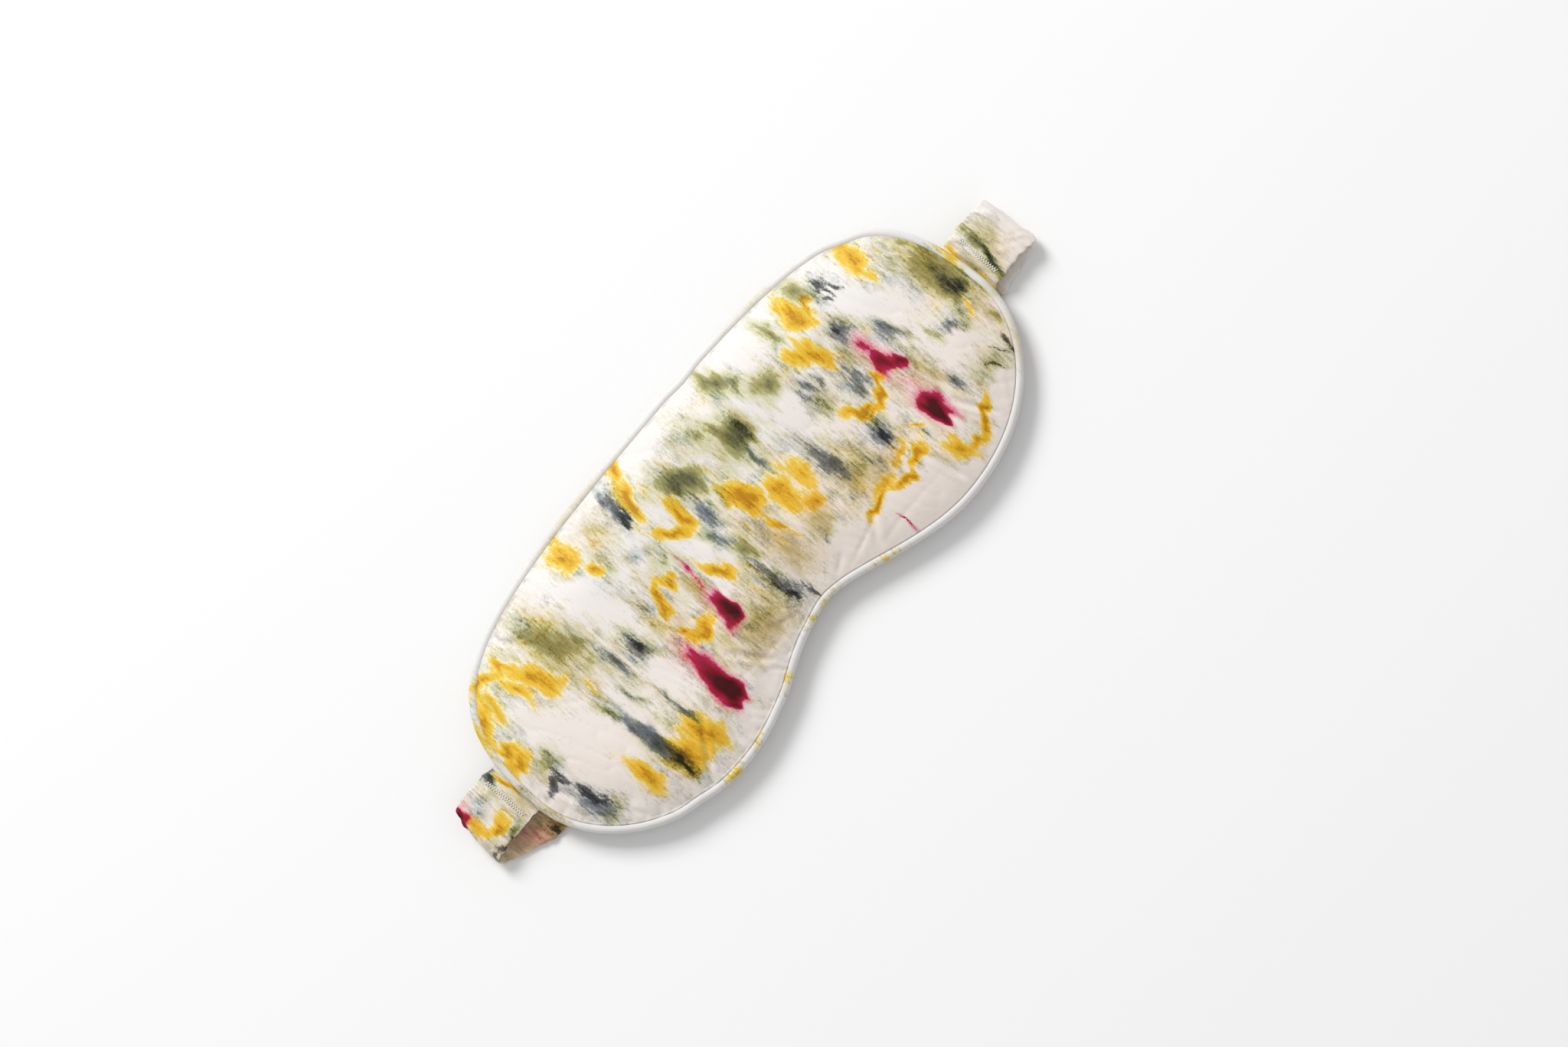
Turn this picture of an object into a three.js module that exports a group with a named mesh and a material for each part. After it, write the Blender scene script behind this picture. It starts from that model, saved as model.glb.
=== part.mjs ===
// A padded silk sleep mask, lying face up on its own folded elastic strap. Millimetres.
// +X runs along the mask's width, +Y points to the brow, +Z points up, out of the printed face.
// The origin is on the surface that the strap lies on, under the middle of the mask.

import * as THREE from "three";

// ---- Driving dimensions ----

// The outline, measured over the piping.
const maskWidth = 210.4;
const maskHeight = 93.2;
const noseDepth = 13.5; // from the lowest point of the lobes up to the top of the nose notch
const lobeSpacing = 105.2; // between the lowest points of the two lobes
const widestLevel = -6.4; // the height of the widest point, above the middle of the mask

// How far each curve of the outline swells towards its corner: [leaving, arriving], from 0 to 1.
const browSwell = [0.81, 0.875];
const cheekSwell = [0.42, 0.67];
const noseSwell = [0.39, 0.23];

// The layers, and how high the two faces stand off the plane of the seam.
const frontRise = 6.5;
const backRise = 3.3;
const clothThickness = 0.5;
const blackoutThickness = 0.6;
const shoulderWidth = 16.7; // from the seam to where a face has reached its full height
const paddingInset = 6.2; // from the outer edge to the edge of the wadding

// The piping: a cotton cord in a bias strip whose two edges run into the seam.
const cordDiameter = 1.4;
const bindingThickness = 0.5;
const flangeThickness = 0.4;
const flangeReach = 5.5; // from the outer edge to the cut edges of the strip

// The strap: a flat elastic in a silk casing.
const strapWidth = 20.5;
const strapThickness = 2.4;
const elasticWidth = 16.5;
const tabLength = 18.3; // from the hinge line at the seam to the crease of the fold
const tabLevel = 2.0; // where the strap leaves the mask, above the middle of the mask
const runLevel = -3.0; // where the strap crosses behind the mask
const foldRadius = 2.4; // of the strap's middle, where it turns back under the tab
const runStraightens = 24; // how far inside the fold the strap has reached runLevel

// The bar of thread across each end of the strap.
const bartackWidth = 1.4;
const bartackHeight = 0.7;
const bartackLength = 15;
const bartackSetback = 2.6; // from the hinge line at the seam

// What is left free between two pieces that touch.
const clearance = 0.3;
const middleGap = 0.3; // where the two halves of the strap meet behind the mask

// How finely the curves are divided.
const halfOutlineSteps = 36;
const shoulderSteps = 4;
const pipingSteps = 6;
const cordSides = 6;
const foldSteps = 3;

// ---- Heights and places that follow from them ----

const halfWidth = maskWidth / 2;
const halfHeight = maskHeight / 2;
const seamHeight = strapThickness + clearance + backRise;
const pipingRadius = cordDiameter / 2 + clearance + bindingThickness;
const seamInset = 2 * pipingRadius + clearance;
const faceInset = seamInset + shoulderWidth;
const flangeTop = clearance / 2 + flangeThickness;
const coverEdge = flangeTop + clearance + clothThickness;
const hingeX = halfWidth + clearance + strapThickness / 2;
const creaseX = hingeX + tabLength;

// ---- The outline ----

// The right half, from the middle of the brow down to the middle of the nose.
function rightHalf() {
  const lobeX = lobeSpacing / 2;
  const noseTop = noseDepth - halfHeight;
  const path = new THREE.Path();
  path.moveTo(0, halfHeight);
  path.bezierCurveTo(
    browSwell[0] * halfWidth, halfHeight,
    halfWidth, THREE.MathUtils.lerp(widestLevel, halfHeight, browSwell[1]),
    halfWidth, widestLevel,
  );
  path.bezierCurveTo(
    halfWidth, THREE.MathUtils.lerp(widestLevel, -halfHeight, cheekSwell[0]),
    THREE.MathUtils.lerp(lobeX, halfWidth, cheekSwell[1]), -halfHeight,
    lobeX, -halfHeight,
  );
  path.bezierCurveTo(
    lobeX * (1 - noseSwell[0]), -halfHeight,
    lobeX * noseSwell[1], noseTop,
    0, noseTop,
  );
  return path.getSpacedPoints(halfOutlineSteps);
}

function wholeOutline() {
  const right = rightHalf();
  const left = right.slice(1, -1).reverse().map((p) => new THREE.Vector2(-p.x, p.y));
  return [...right, ...left];
}

const outline = wholeOutline();
const outward = outline.map((p, i) => {
  const before = outline.at(i - 1);
  const after = outline[(i + 1) % outline.length];
  return new THREE.Vector2(before.y - after.y, after.x - before.x).normalize();
});

// The outline moved inwards by inset, at the height z.
function outlineLoop(inset, z) {
  return outline.map((p, i) => new THREE.Vector3(
    p.x - outward[i].x * inset,
    p.y - outward[i].y * inset,
    z,
  ));
}

// ---- Building solids from loops of points ----

function signedVolume(points, faces) {
  return faces.reduce((sum, [a, b, c]) => {
    const normal = new THREE.Vector3().crossVectors(points[b], points[c]);
    return sum + points[a].dot(normal) / 6;
  }, 0);
}

// The triangles that close a loop whose flat shape is given, wound the way the loop runs.
function capFaces(shape) {
  const loopTurns = Math.sign(THREE.ShapeUtils.area(shape));
  return THREE.ShapeUtils.triangulateShape(shape, []).map(([a, b, c]) => {
    const turns = Math.sign(THREE.ShapeUtils.area([shape[a], shape[b], shape[c]]));
    return turns === loopTurns ? [a, b, c] : [a, c, b];
  });
}

// Skins one loop to the next. Without capShape, the last loop is skinned back to the first.
function loft(loops, capShape) {
  const count = loops[0].length;
  const points = loops.flat();
  const faces = [];
  const spans = capShape ? loops.length - 1 : loops.length;
  for (let k = 0; k < spans; k += 1) {
    const here = k * count;
    const there = ((k + 1) % loops.length) * count;
    for (let j = 0; j < count; j += 1) {
      const next = (j + 1) % count;
      faces.push([here + j, here + next, there + next]);
      faces.push([here + j, there + next, there + j]);
    }
  }
  if (capShape) {
    const last = (loops.length - 1) * count;
    for (const [a, b, c] of capFaces(capShape)) {
      faces.push([a, c, b]);
      faces.push([last + a, last + b, last + c]);
    }
  }
  if (signedVolume(points, faces) < 0) {
    faces.forEach((face) => face.reverse());
  }
  const geometry = new THREE.BufferGeometry().setFromPoints(points);
  geometry.setIndex(faces.flat());
  return geometry;
}

// ---- The mask's layers ----

// A face's height above its edge, from 0 at the seam to 1 at the full height.
function shoulder(inset) {
  return Math.sin((Math.PI / 2) * (inset - seamInset) / shoulderWidth);
}

const frontOf = (inset) => THREE.MathUtils.lerp(coverEdge, frontRise, shoulder(inset));
const backOf = (inset) => -THREE.MathUtils.lerp(coverEdge, backRise, shoulder(inset));

// Insets from the full height out to an edge, closer together near the edge.
function insetsTo(edgeInset) {
  return Array.from({ length: shoulderSteps + 1 }, (_, i) => {
    const share = Math.sin((Math.PI / 2) * (i / shoulderSteps));
    return THREE.MathUtils.lerp(faceInset, edgeInset, share);
  });
}

// A layer between two surfaces, each given as a height above the seam for every inset.
function layer(edgeInset, upper, lower) {
  const insets = insetsTo(edgeInset);
  const top = insets.map((inset) => outlineLoop(inset, seamHeight + upper(inset)));
  const bottom = insets.map((inset) => outlineLoop(inset, seamHeight + lower(inset)));
  const capShape = outlineLoop(faceInset, 0).map((p) => new THREE.Vector2(p.x, p.y));
  return loft([...top, ...bottom.reverse()], capShape);
}

// A flat sheet needs no loops between its middle and its edge.
function flatSheet(edgeInset, thickness) {
  const capShape = outlineLoop(edgeInset, 0).map((p) => new THREE.Vector2(p.x, p.y));
  const top = outlineLoop(edgeInset, seamHeight + thickness / 2);
  const bottom = outlineLoop(edgeInset, seamHeight - thickness / 2);
  return loft([top, bottom], capShape);
}

const blackoutHalf = blackoutThickness / 2 + clearance;
const underCloth = clothThickness + clearance;

function maskLayers() {
  return {
    front_cover: layer(seamInset, frontOf, (inset) => frontOf(inset) - clothThickness),
    front_batting: layer(paddingInset, (inset) => frontOf(inset) - underCloth, () => blackoutHalf),
    blackout_layer: flatSheet(paddingInset, blackoutThickness),
    back_batting: layer(paddingInset, () => -blackoutHalf, (inset) => backOf(inset) + underCloth),
    back_cover: layer(seamInset, (inset) => backOf(inset) + clothThickness, backOf),
  };
}

// ---- The piping ----

// A point on a circle round the cord's middle: angle 0 faces the inside of the mask.
function aroundCord(radius, angle) {
  return [pipingRadius + radius * Math.cos(angle), radius * Math.sin(angle)];
}

function arcAroundCord(radius, from, to, steps) {
  return Array.from({ length: steps + 1 }, (_, i) => (
    aroundCord(radius, THREE.MathUtils.lerp(from, to, i / steps))
  ));
}

// The strip wraps the cord, and its two edges run side by side into the seam.
function bindingSection() {
  const innerRadius = pipingRadius - bindingThickness;
  const outerStart = Math.asin(flangeTop / pipingRadius);
  const innerStart = Math.asin(clearance / 2 / innerRadius);
  const turn = 2 * Math.PI;
  return [
    [flangeReach, flangeTop],
    ...arcAroundCord(pipingRadius, outerStart, turn - outerStart, pipingSteps),
    [flangeReach, -flangeTop],
    [flangeReach, -clearance / 2],
    ...arcAroundCord(innerRadius, turn - innerStart, innerStart, pipingSteps),
    [flangeReach, clearance / 2],
  ];
}

function ringFrom(section) {
  return loft(section.map(([inset, z]) => outlineLoop(inset, seamHeight + z)));
}

function piping() {
  const round = arcAroundCord(cordDiameter / 2, 0, 2 * Math.PI, cordSides).slice(0, -1);
  return {
    piping_cover: ringFrom(bindingSection()),
    piping_cord: ringFrom(round),
  };
}

// ---- The strap ----

// A flat section with softened edges: [across, through] for each corner.
function flatSection(width, thickness) {
  const w = width / 2;
  const t = thickness / 2;
  const soft = t * 0.6;
  return [
    [w - soft, t], [w, t - soft], [w, soft - t], [w - soft, -t],
    [soft - w, -t], [-w, soft - t], [-w, t - soft], [soft - w, t],
  ];
}

// The section set across the strap at a station of its path, on the side that sign gives.
function stationLoop(station, section, sign) {
  return section.map(([across, through]) => new THREE.Vector3(
    sign * (station.x + station.normal.x * through),
    station.level + across,
    station.z + station.normal.y * through,
  ));
}

const up = new THREE.Vector2(0, 1);
const channelWall = clothThickness + clearance;
const channel = flatSection(strapWidth - 2 * clothThickness, strapThickness - 2 * clothThickness);
const casing = flatSection(strapWidth, strapThickness);
const elastic = flatSection(elasticWidth, strapThickness - 2 * channelWall);

// The tab runs out from the side seam to just short of the folded part.
const tipReach = 0.9; // how far the softened end passes the hinge line
const tipThickness = strapThickness / 2;
const tabEndX = creaseX - strapThickness - clearance;

function tabStation(x) {
  return { x, z: seamHeight, level: tabLevel, normal: up };
}

function tabCasing(sign) {
  const tip = stationLoop(tabStation(hingeX - tipReach), flatSection(strapWidth, tipThickness), sign);
  const outer = [hingeX, tabEndX].map((x) => stationLoop(tabStation(x), casing, sign));
  const inner = [tabEndX, hingeX + clothThickness].map((x) => (
    stationLoop(tabStation(x), channel, sign)
  ));
  return loft([tip, ...outer, ...inner], casing.map(([a, b]) => new THREE.Vector2(a, b)));
}

function tabElastic(sign) {
  const ends = [hingeX + channelWall, tabEndX];
  const loops = ends.map((x) => stationLoop(tabStation(x), elastic, sign));
  return loft(loops, elastic.map(([a, b]) => new THREE.Vector2(a, b)));
}

function bartack(sign) {
  const x = hingeX + bartackSetback;
  const z = seamHeight + strapThickness / 2 + clearance + bartackHeight / 2;
  const loops = [x - bartackWidth / 2, x + bartackWidth / 2].map((end) => (
    stationLoop({ ...tabStation(end), z }, flatSection(bartackLength, bartackHeight), sign)
  ));
  return loft(loops, casing.map(([a, b]) => new THREE.Vector2(a, b)));
}

// The run starts at the crease, turns down and back under the tab, and crosses to the middle.
function runStations() {
  const outerX = creaseX - strapThickness / 2;
  const floorZ = strapThickness / 2;
  const stations = [
    { x: outerX, z: seamHeight - clearance / 2, level: tabLevel, normal: new THREE.Vector2(1, 0) },
  ];
  for (let i = 0; i <= foldSteps; i += 1) {
    const angle = (Math.PI / 2) * (i / foldSteps);
    const normal = new THREE.Vector2(Math.cos(angle), -Math.sin(angle));
    stations.push({
      x: outerX - foldRadius + foldRadius * normal.x,
      z: floorZ + foldRadius + foldRadius * normal.y,
      level: tabLevel,
      normal,
    });
  }
  for (const x of [outerX - foldRadius - runStraightens, middleGap / 2]) {
    stations.push({ x, z: floorZ, level: runLevel, normal: new THREE.Vector2(0, -1) });
  }
  return stations;
}

function runCasing(sign) {
  const outer = runStations().map((station) => stationLoop(station, casing, sign));
  const inner = runStations().map((station) => stationLoop(station, channel, sign));
  return loft([...outer, ...inner.reverse()]);
}

function runElastic(sign) {
  const loops = runStations().map((station) => stationLoop(station, elastic, sign));
  return loft(loops, elastic.map(([a, b]) => new THREE.Vector2(a, b)));
}

function strapHalf(side, sign) {
  return {
    [`${side}_tab_casing`]: tabCasing(sign),
    [`${side}_tab_elastic`]: tabElastic(sign),
    [`${side}_bartack`]: bartack(sign),
    [`${side}_run_casing`]: runCasing(sign),
    [`${side}_run_elastic`]: runElastic(sign),
  };
}

// ---- Colours and the finished group ----

function cloth(color, roughness) {
  return new THREE.MeshStandardMaterial({ color, roughness, metalness: 0 });
}

const printedSilk = cloth(0xece6de, 0.42);
const plainSilk = cloth(0xefeae6, 0.42);
const wadding = cloth(0xf4f2ee, 0.95);
const blackoutCloth = cloth(0x26262b, 0.9);
const cottonCord = cloth(0xe9e4d8, 0.9);
const elasticWeb = cloth(0xf2f0ec, 0.8);
const thread = cloth(0xf3f0ea, 0.6);

const materialOf = {
  front_cover: printedSilk,
  front_batting: wadding,
  blackout_layer: blackoutCloth,
  back_batting: wadding,
  back_cover: plainSilk,
  piping_cover: plainSilk,
  piping_cord: cottonCord,
  tab_casing: printedSilk,
  tab_elastic: elasticWeb,
  bartack: thread,
  run_casing: printedSilk,
  run_elastic: elasticWeb,
};

function groupOf(pieces) {
  const group = new THREE.Group();
  for (const [name, geometry] of Object.entries(pieces)) {
    const mesh = new THREE.Mesh(geometry, materialOf[name.replace(/^(left|right)_/, "")]);
    mesh.name = name;
    group.add(mesh);
  }
  return group;
}

const sleepMask = new THREE.Group();
sleepMask.add(groupOf(maskLayers()));
sleepMask.add(groupOf(piping()));
sleepMask.add(groupOf(strapHalf("left", -1)));
sleepMask.add(groupOf(strapHalf("right", 1)));

export default sleepMask;
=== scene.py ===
# %% [markdown]
# # A padded silk sleep mask
# This lesson makes a soft thing that is sewn, not moulded: two silk covers over wadding, a piped edge,
# and an elastic strap in a gathered silk casing, folded flat behind the mask. The frame holds every
# piece's place and size. We never move it: each cell builds one finished piece around it and says which
# part of it that stands for.

# %% Load the frame
import math

import bpy
import numpy as np
from mathutils import Matrix, Vector
from mathutils.geometry import delaunay_2d_cdt


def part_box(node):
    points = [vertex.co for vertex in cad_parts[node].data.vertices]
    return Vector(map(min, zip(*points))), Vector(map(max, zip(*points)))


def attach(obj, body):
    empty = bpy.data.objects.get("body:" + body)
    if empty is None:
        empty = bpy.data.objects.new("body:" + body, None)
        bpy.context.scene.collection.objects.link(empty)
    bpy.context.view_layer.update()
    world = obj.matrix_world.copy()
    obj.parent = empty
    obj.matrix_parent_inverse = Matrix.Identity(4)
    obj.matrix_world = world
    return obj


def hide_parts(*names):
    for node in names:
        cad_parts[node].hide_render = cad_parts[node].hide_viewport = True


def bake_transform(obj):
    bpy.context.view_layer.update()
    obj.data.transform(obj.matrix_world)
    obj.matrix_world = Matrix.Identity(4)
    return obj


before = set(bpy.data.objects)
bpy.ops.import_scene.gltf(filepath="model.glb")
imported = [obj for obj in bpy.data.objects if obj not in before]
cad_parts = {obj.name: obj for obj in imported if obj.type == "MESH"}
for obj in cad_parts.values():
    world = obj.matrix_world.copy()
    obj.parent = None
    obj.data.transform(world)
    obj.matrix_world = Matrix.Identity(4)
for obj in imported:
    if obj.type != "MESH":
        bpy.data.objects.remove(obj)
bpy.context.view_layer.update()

# %% [markdown]
# ## The camera
# The mask is seen from above, a little from the nose side, with its long axis turned up towards a corner
# of the picture. A long lens a metre away keeps its outline free of perspective. We could place the
# camera by eye, but it is steadier to say which way the mask's own axes run in the picture and to build
# the camera's axes from that.

# %% Camera
MM = 0.001
MASK_TURN = math.radians(50.0)  # how far the mask's width is turned up from the picture's bottom edge
CAMERA_LEAN = math.radians(7.0)  # how far the camera leans to the nose side
VIEW_WIDTH = 476 * MM  # what the picture spans at the mask
VIEW_CENTRE = Vector((9.2, -7.6, 6.0)) * MM
LENS, SENSOR = 100.0, 36.0

view_right = Vector((math.cos(MASK_TURN), -math.sin(MASK_TURN), 0))
to_camera = Vector((0, -math.sin(CAMERA_LEAN), math.cos(CAMERA_LEAN)))


def turned_frame(right_hint, back):
    """A rotation whose local Z is back and whose local X is as near right_hint as it can be."""
    x = (right_hint - back * right_hint.dot(back)).normalized()
    y = back.cross(x)
    return Matrix((x, y, back)).transposed().to_4x4()


camera = bpy.data.objects.new("camera", bpy.data.cameras.new("camera"))
bpy.context.scene.collection.objects.link(camera)
camera.data.lens = LENS
camera.data.sensor_width = SENSOR
camera_distance = VIEW_WIDTH * LENS / SENSOR
camera.matrix_world = (
    Matrix.Translation(VIEW_CENTRE + to_camera * camera_distance) @ turned_frame(view_right, to_camera)
)
bpy.context.scene.camera = camera
print(f"camera {camera_distance:.2f} m away")

# %% [markdown]
# ## The outline, read from the frame
# Everything that is sewn round the edge follows one line: the outside of the piping. The frame already
# has that line as a ring of straight stretches. We read its corners and pass a smooth closed curve
# through them, so the cloth can't drift away from the frame. All the shaping below is in millimetres,
# which read better than metres.

# %% Outline
def node_points(node):
    """The corner points of a frame node, in millimetres."""
    return np.array([v.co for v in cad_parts[node].data.vertices], float) / MM


def frame_box(node):
    """The lowest and highest corner of a frame node, in millimetres."""
    low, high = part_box(node)
    return np.array(low) / MM, np.array(high) / MM


def smooth_closed(points, pitch):
    """A Catmull-Rom curve through a closed ring of points, cut into steps of about pitch."""
    length = np.linalg.norm(np.roll(points, -1, 0) - points, axis=1).sum()
    fine = int(round(length / pitch / len(points))) * 4
    t = (np.arange(fine) / fine)[:, None, None]
    p0, p1, p2, p3 = (np.roll(points, k, 0)[None] for k in (1, 0, -1, -2))
    curve = 0.5 * (
        2 * p1 + (p2 - p0) * t + (2 * p0 - 5 * p1 + 4 * p2 - p3) * t**2 + (3 * (p1 - p2) + p3 - p0) * t**3
    )
    curve = curve.transpose(1, 0, 2).reshape(-1, points.shape[1])
    return resample_closed(curve, pitch)


def resample_closed(curve, pitch):
    """The same closed line, with its points an even distance apart."""
    ring = np.vstack([curve, curve[:1]])
    along = np.concatenate([[0], np.linalg.norm(np.diff(ring, axis=0), axis=1).cumsum()])
    count = int(round(along[-1] / pitch))
    places = np.arange(count) * along[-1] / count
    return np.stack([np.interp(places, along, ring[:, k]) for k in range(ring.shape[1])], axis=1)


SAME_LEVEL = 0.05  # corners this near the middle level are the outermost ones
CORNERS_APART = 3.0  # nearer than this, two corners are the same one seen twice


def outer_ring():
    """The outermost corners of the piping, in order round the mask."""
    points = node_points("piping_cover")
    middle = points[:, 2].mean()
    level = points[np.abs(points[:, 2] - middle) < SAME_LEVEL][:, :2]
    angle = np.round(np.degrees(np.arctan2(level[:, 1], level[:, 0])), 0)
    reach = np.linalg.norm(level, axis=1)
    order = np.lexsort((-reach, angle))
    kept = []
    for i in order:
        if not kept or np.linalg.norm(level[i] - kept[-1]) > CORNERS_APART:
            kept.append(level[i])
    return np.array(kept)


OUTLINE_PITCH = 0.7
outline = smooth_closed(outer_ring(), OUTLINE_PITCH)
ahead, behind = np.roll(outline, -1, 0), np.roll(outline, 1, 0)
tangent = (ahead - behind) / np.linalg.norm(ahead - behind, axis=1)[:, None]
inward = np.stack([-tangent[:, 1], tangent[:, 0]], axis=1)
girth = np.linalg.norm(ahead - outline, axis=1).sum()
print(f"outline: {len(outline)} points, {girth:.0f} mm round")

# %% [markdown]
# ## Floor and light
# The mask lies on a plain white table under one large soft light, a little above the brow side, so its
# shadow falls towards the nose. A softbox can be an area light, a sun with a wide disc, or a bright card.
# An area light is the most like the real thing: its size sets how soft the shadow's edge is. An even
# white sky stands for all the light that a white room sends back.

# %% Floor and light
def plain_material(name, colour, roughness):
    """A material of one colour."""
    material = bpy.data.materials.new(name)
    material.use_nodes = True
    surface = material.node_tree.nodes["Principled BSDF"]
    surface.inputs["Base Color"].default_value = (*colour, 1)
    surface.inputs["Roughness"].default_value = roughness
    return material


TABLE_HALF = 3.0
table_mesh = bpy.data.meshes.new("table")
table_corners = [(x * TABLE_HALF, y * TABLE_HALF, 0) for x, y in ((-1, -1), (1, -1), (1, 1), (-1, 1))]
table_mesh.from_pydata(table_corners, [], [(0, 1, 2, 3)])
table = bpy.data.objects.new("table", table_mesh)
table.data.materials.append(plain_material("white_table", (0.90, 0.90, 0.90), 0.9))
bpy.context.scene.collection.objects.link(table)

SOFTBOX_FROM = Vector((0.10, 0.76, 0.64))  # brow side, above
SOFTBOX_DISTANCE, SOFTBOX_SIZE, SOFTBOX_POWER = 2.4, 0.95, 45.0
softbox = bpy.data.objects.new("softbox", bpy.data.lights.new("softbox", "AREA"))
softbox.data.size = SOFTBOX_SIZE
softbox.data.energy = SOFTBOX_POWER
softbox.matrix_world = (
    Matrix.Translation(SOFTBOX_FROM.normalized() * SOFTBOX_DISTANCE)
    @ turned_frame(view_right, SOFTBOX_FROM.normalized())
)
bpy.context.scene.collection.objects.link(softbox)

SKY_STRENGTH = 0.58
sky = bpy.data.worlds.new("white_room")
sky.use_nodes = True
sky.node_tree.nodes["Background"].inputs["Color"].default_value = (1, 1, 1, 1)
sky.node_tree.nodes["Background"].inputs["Strength"].default_value = SKY_STRENGTH
bpy.context.scene.world = sky
bpy.context.scene.view_settings.view_transform = "Standard"
print("one softbox and an even white room")

# %% [markdown]
# ## Where a point lies on the cloth
# Folds and puckers depend on two things: how far a point is from the edge, and where along the edge it
# is. A search tree over the outline answers both at once. The distance is taken square to the outline's
# own direction, which stays exact between the outline's points.

# %% Distance to the edge
from mathutils.kdtree import KDTree

edge_tree = KDTree(len(outline))
for i, (x, y) in enumerate(outline):
    edge_tree.insert((x, y, 0), i)
edge_tree.balance()


def from_edge(xy):
    """How far each point lies inside the outline, and how far round it its nearest place is."""
    nearest = np.array([edge_tree.find((x, y, 0))[1] for x, y in xy])
    step = xy - outline[nearest]
    inset = (step * inward[nearest]).sum(1)
    along = nearest * (girth / len(outline)) + (step * tangent[nearest]).sum(1)
    return inset, along


def ease(t):
    """A soft step: 0 below 0, 1 above 1, with no corner at either end."""
    t = np.clip(t, 0, 1)
    return t * t * (3 - 2 * t)


HILL_TILES = 64  # the pattern of hills repeats after this many


def hills(x, y, seed):
    """Smooth random hills between -1 and 1, about one to each unit square."""
    heights = np.random.default_rng(seed).uniform(-1, 1, (HILL_TILES, HILL_TILES))
    i, j = np.floor(x).astype(int), np.floor(y).astype(int)
    u, v = ease(x - i), ease(y - j)

    def row(b):
        near = heights[i % HILL_TILES, (j + b) % HILL_TILES]
        far = heights[(i + 1) % HILL_TILES, (j + b) % HILL_TILES]
        return near * (1 - u) + far * u

    return row(0) * (1 - v) + row(1) * v


def folds(x, y, seed):
    """Sharp-crested folds between 0 and 1, from hills that are turned up where they pass zero."""
    return 1 - np.abs(hills(x, y, seed))


print(f"edge distance at the middle: {from_edge(np.zeros((1, 2)))[0][0]:.1f} mm")

# %% [markdown]
# ## The cloth's grid
# A cover is one smooth panel with a wavy edge. A quad grid would be cut ragged by the outline, and a
# single fan would have long thin faces. So rings of points run close to the seam, where the puckers are,
# and an even honeycomb fills the rest. Blender's own triangulation joins them and keeps only what lies
# inside the outer ring.

# %% Cloth grid
COVER_INSET = 2.45  # how far inside the outline a cover meets the bead of the piping
FRONT_PITCH, BACK_PITCH = 0.72, 1.1
FIRST_STEP, STEP_GROWTH = 0.55, 0.12  # from ring to ring, in pitches, and how fast it grows inward
RING_PITCH, PITCH_GROWTH = 0.8, 0.04  # along a ring
HONEYCOMB_GAP = 0.7  # between the last ring and the honeycomb, in pitches
INSIDE_ONLY, WELD = 1, 1e-5  # the triangulation keeps what is inside, and joins points nearer than this


def inset_ring(inset, pitch):
    """The outline moved inward, with its points about pitch apart."""
    return resample_closed(outline + inward * inset, pitch)


def honeycomb(pitch, inset):
    """Points in a honeycomb, all at least inset inside the outline."""
    reach = np.abs(outline).max(0)
    rows = np.arange(-reach[1], reach[1], pitch * math.sqrt(3) / 2)
    columns = np.arange(-reach[0], reach[0], pitch)
    points = np.array([(x + pitch / 2 * (k % 2), y) for k, y in enumerate(rows) for x in columns])
    return points[from_edge(points)[0] > inset]


def panel(pitch, inset, rings=6):
    """A flat panel inside the outline: its points, its triangles and how many points its outer edge has."""
    steps = inset + pitch * FIRST_STEP * np.arange(rings) * (1 + STEP_GROWTH * np.arange(rings))
    ring_points = [inset_ring(s, pitch * (RING_PITCH + PITCH_GROWTH * k)) for k, s in enumerate(steps)]
    points = np.vstack([*ring_points, honeycomb(pitch, steps[-1] + pitch * HONEYCOMB_GAP)])
    count = len(ring_points[0])
    edge = [(i, (i + 1) % count) for i in range(count)]
    found = delaunay_2d_cdt([Vector(p) for p in points], edge, [], INSIDE_ONLY, WELD)
    triangles = np.array(found[2])
    return np.array(found[0]), triangles, count


front_panel = panel(FRONT_PITCH, COVER_INSET)
back_panel = panel(BACK_PITCH, COVER_INSET)
print("front panel:", len(front_panel[0]), "points; back panel:", len(back_panel[0]), "points")

# %% [markdown]
# ## Levels through the mask
# The covers, the seam and the strap all take their heights from the frame, so the finished cloth fills
# just the space that the frame keeps for it. The seam runs level, at the middle of the piping. The front
# swells more than the back, because the back lies on the face and its padding is thin.

# %% Levels
SEAM_LEVEL = sum(box[2] for box in frame_box("piping_cover")) / 2
FRONT_TOP = frame_box("front_cover")[1][2]
BACK_TOP = frame_box("back_cover")[0][2]
SHOULDER = 21.5  # how far in from the piping a cover reaches its full height
SEAM_RISE = 1.42  # how far the cloth stands off the seam's level where it turns into the seam
SILK_THICK = 0.3
PILLOW = 0.88  # below 1 the edge swells out round, as stuffed cloth does


def swell(inset, full):
    """The height of a stuffed cover above the seam, this far inside the outline."""
    share = np.sin(np.pi / 2 * np.clip((inset - COVER_INSET) / SHOULDER, 0, 1)) ** PILLOW
    return SEAM_RISE + (full - SEAM_RISE) * share


print(f"seam at {SEAM_LEVEL:.1f}, front {FRONT_TOP:.1f}, back {BACK_TOP:.1f} mm")

# %% [markdown]
# ## Puckers, creases and slack
# Thin silk over soft wadding is never smooth. Along the seam the stitches gather it into short puckers.
# From the nose notch, where the cloth is pulled round a tight bend, long creases fan out. A few hard
# creases were pressed in by hand. And the whole panel has slack hills a finger wide. Each kind is its own
# small function that says how far the cloth moves, so each can be made stronger or weaker alone.

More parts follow.
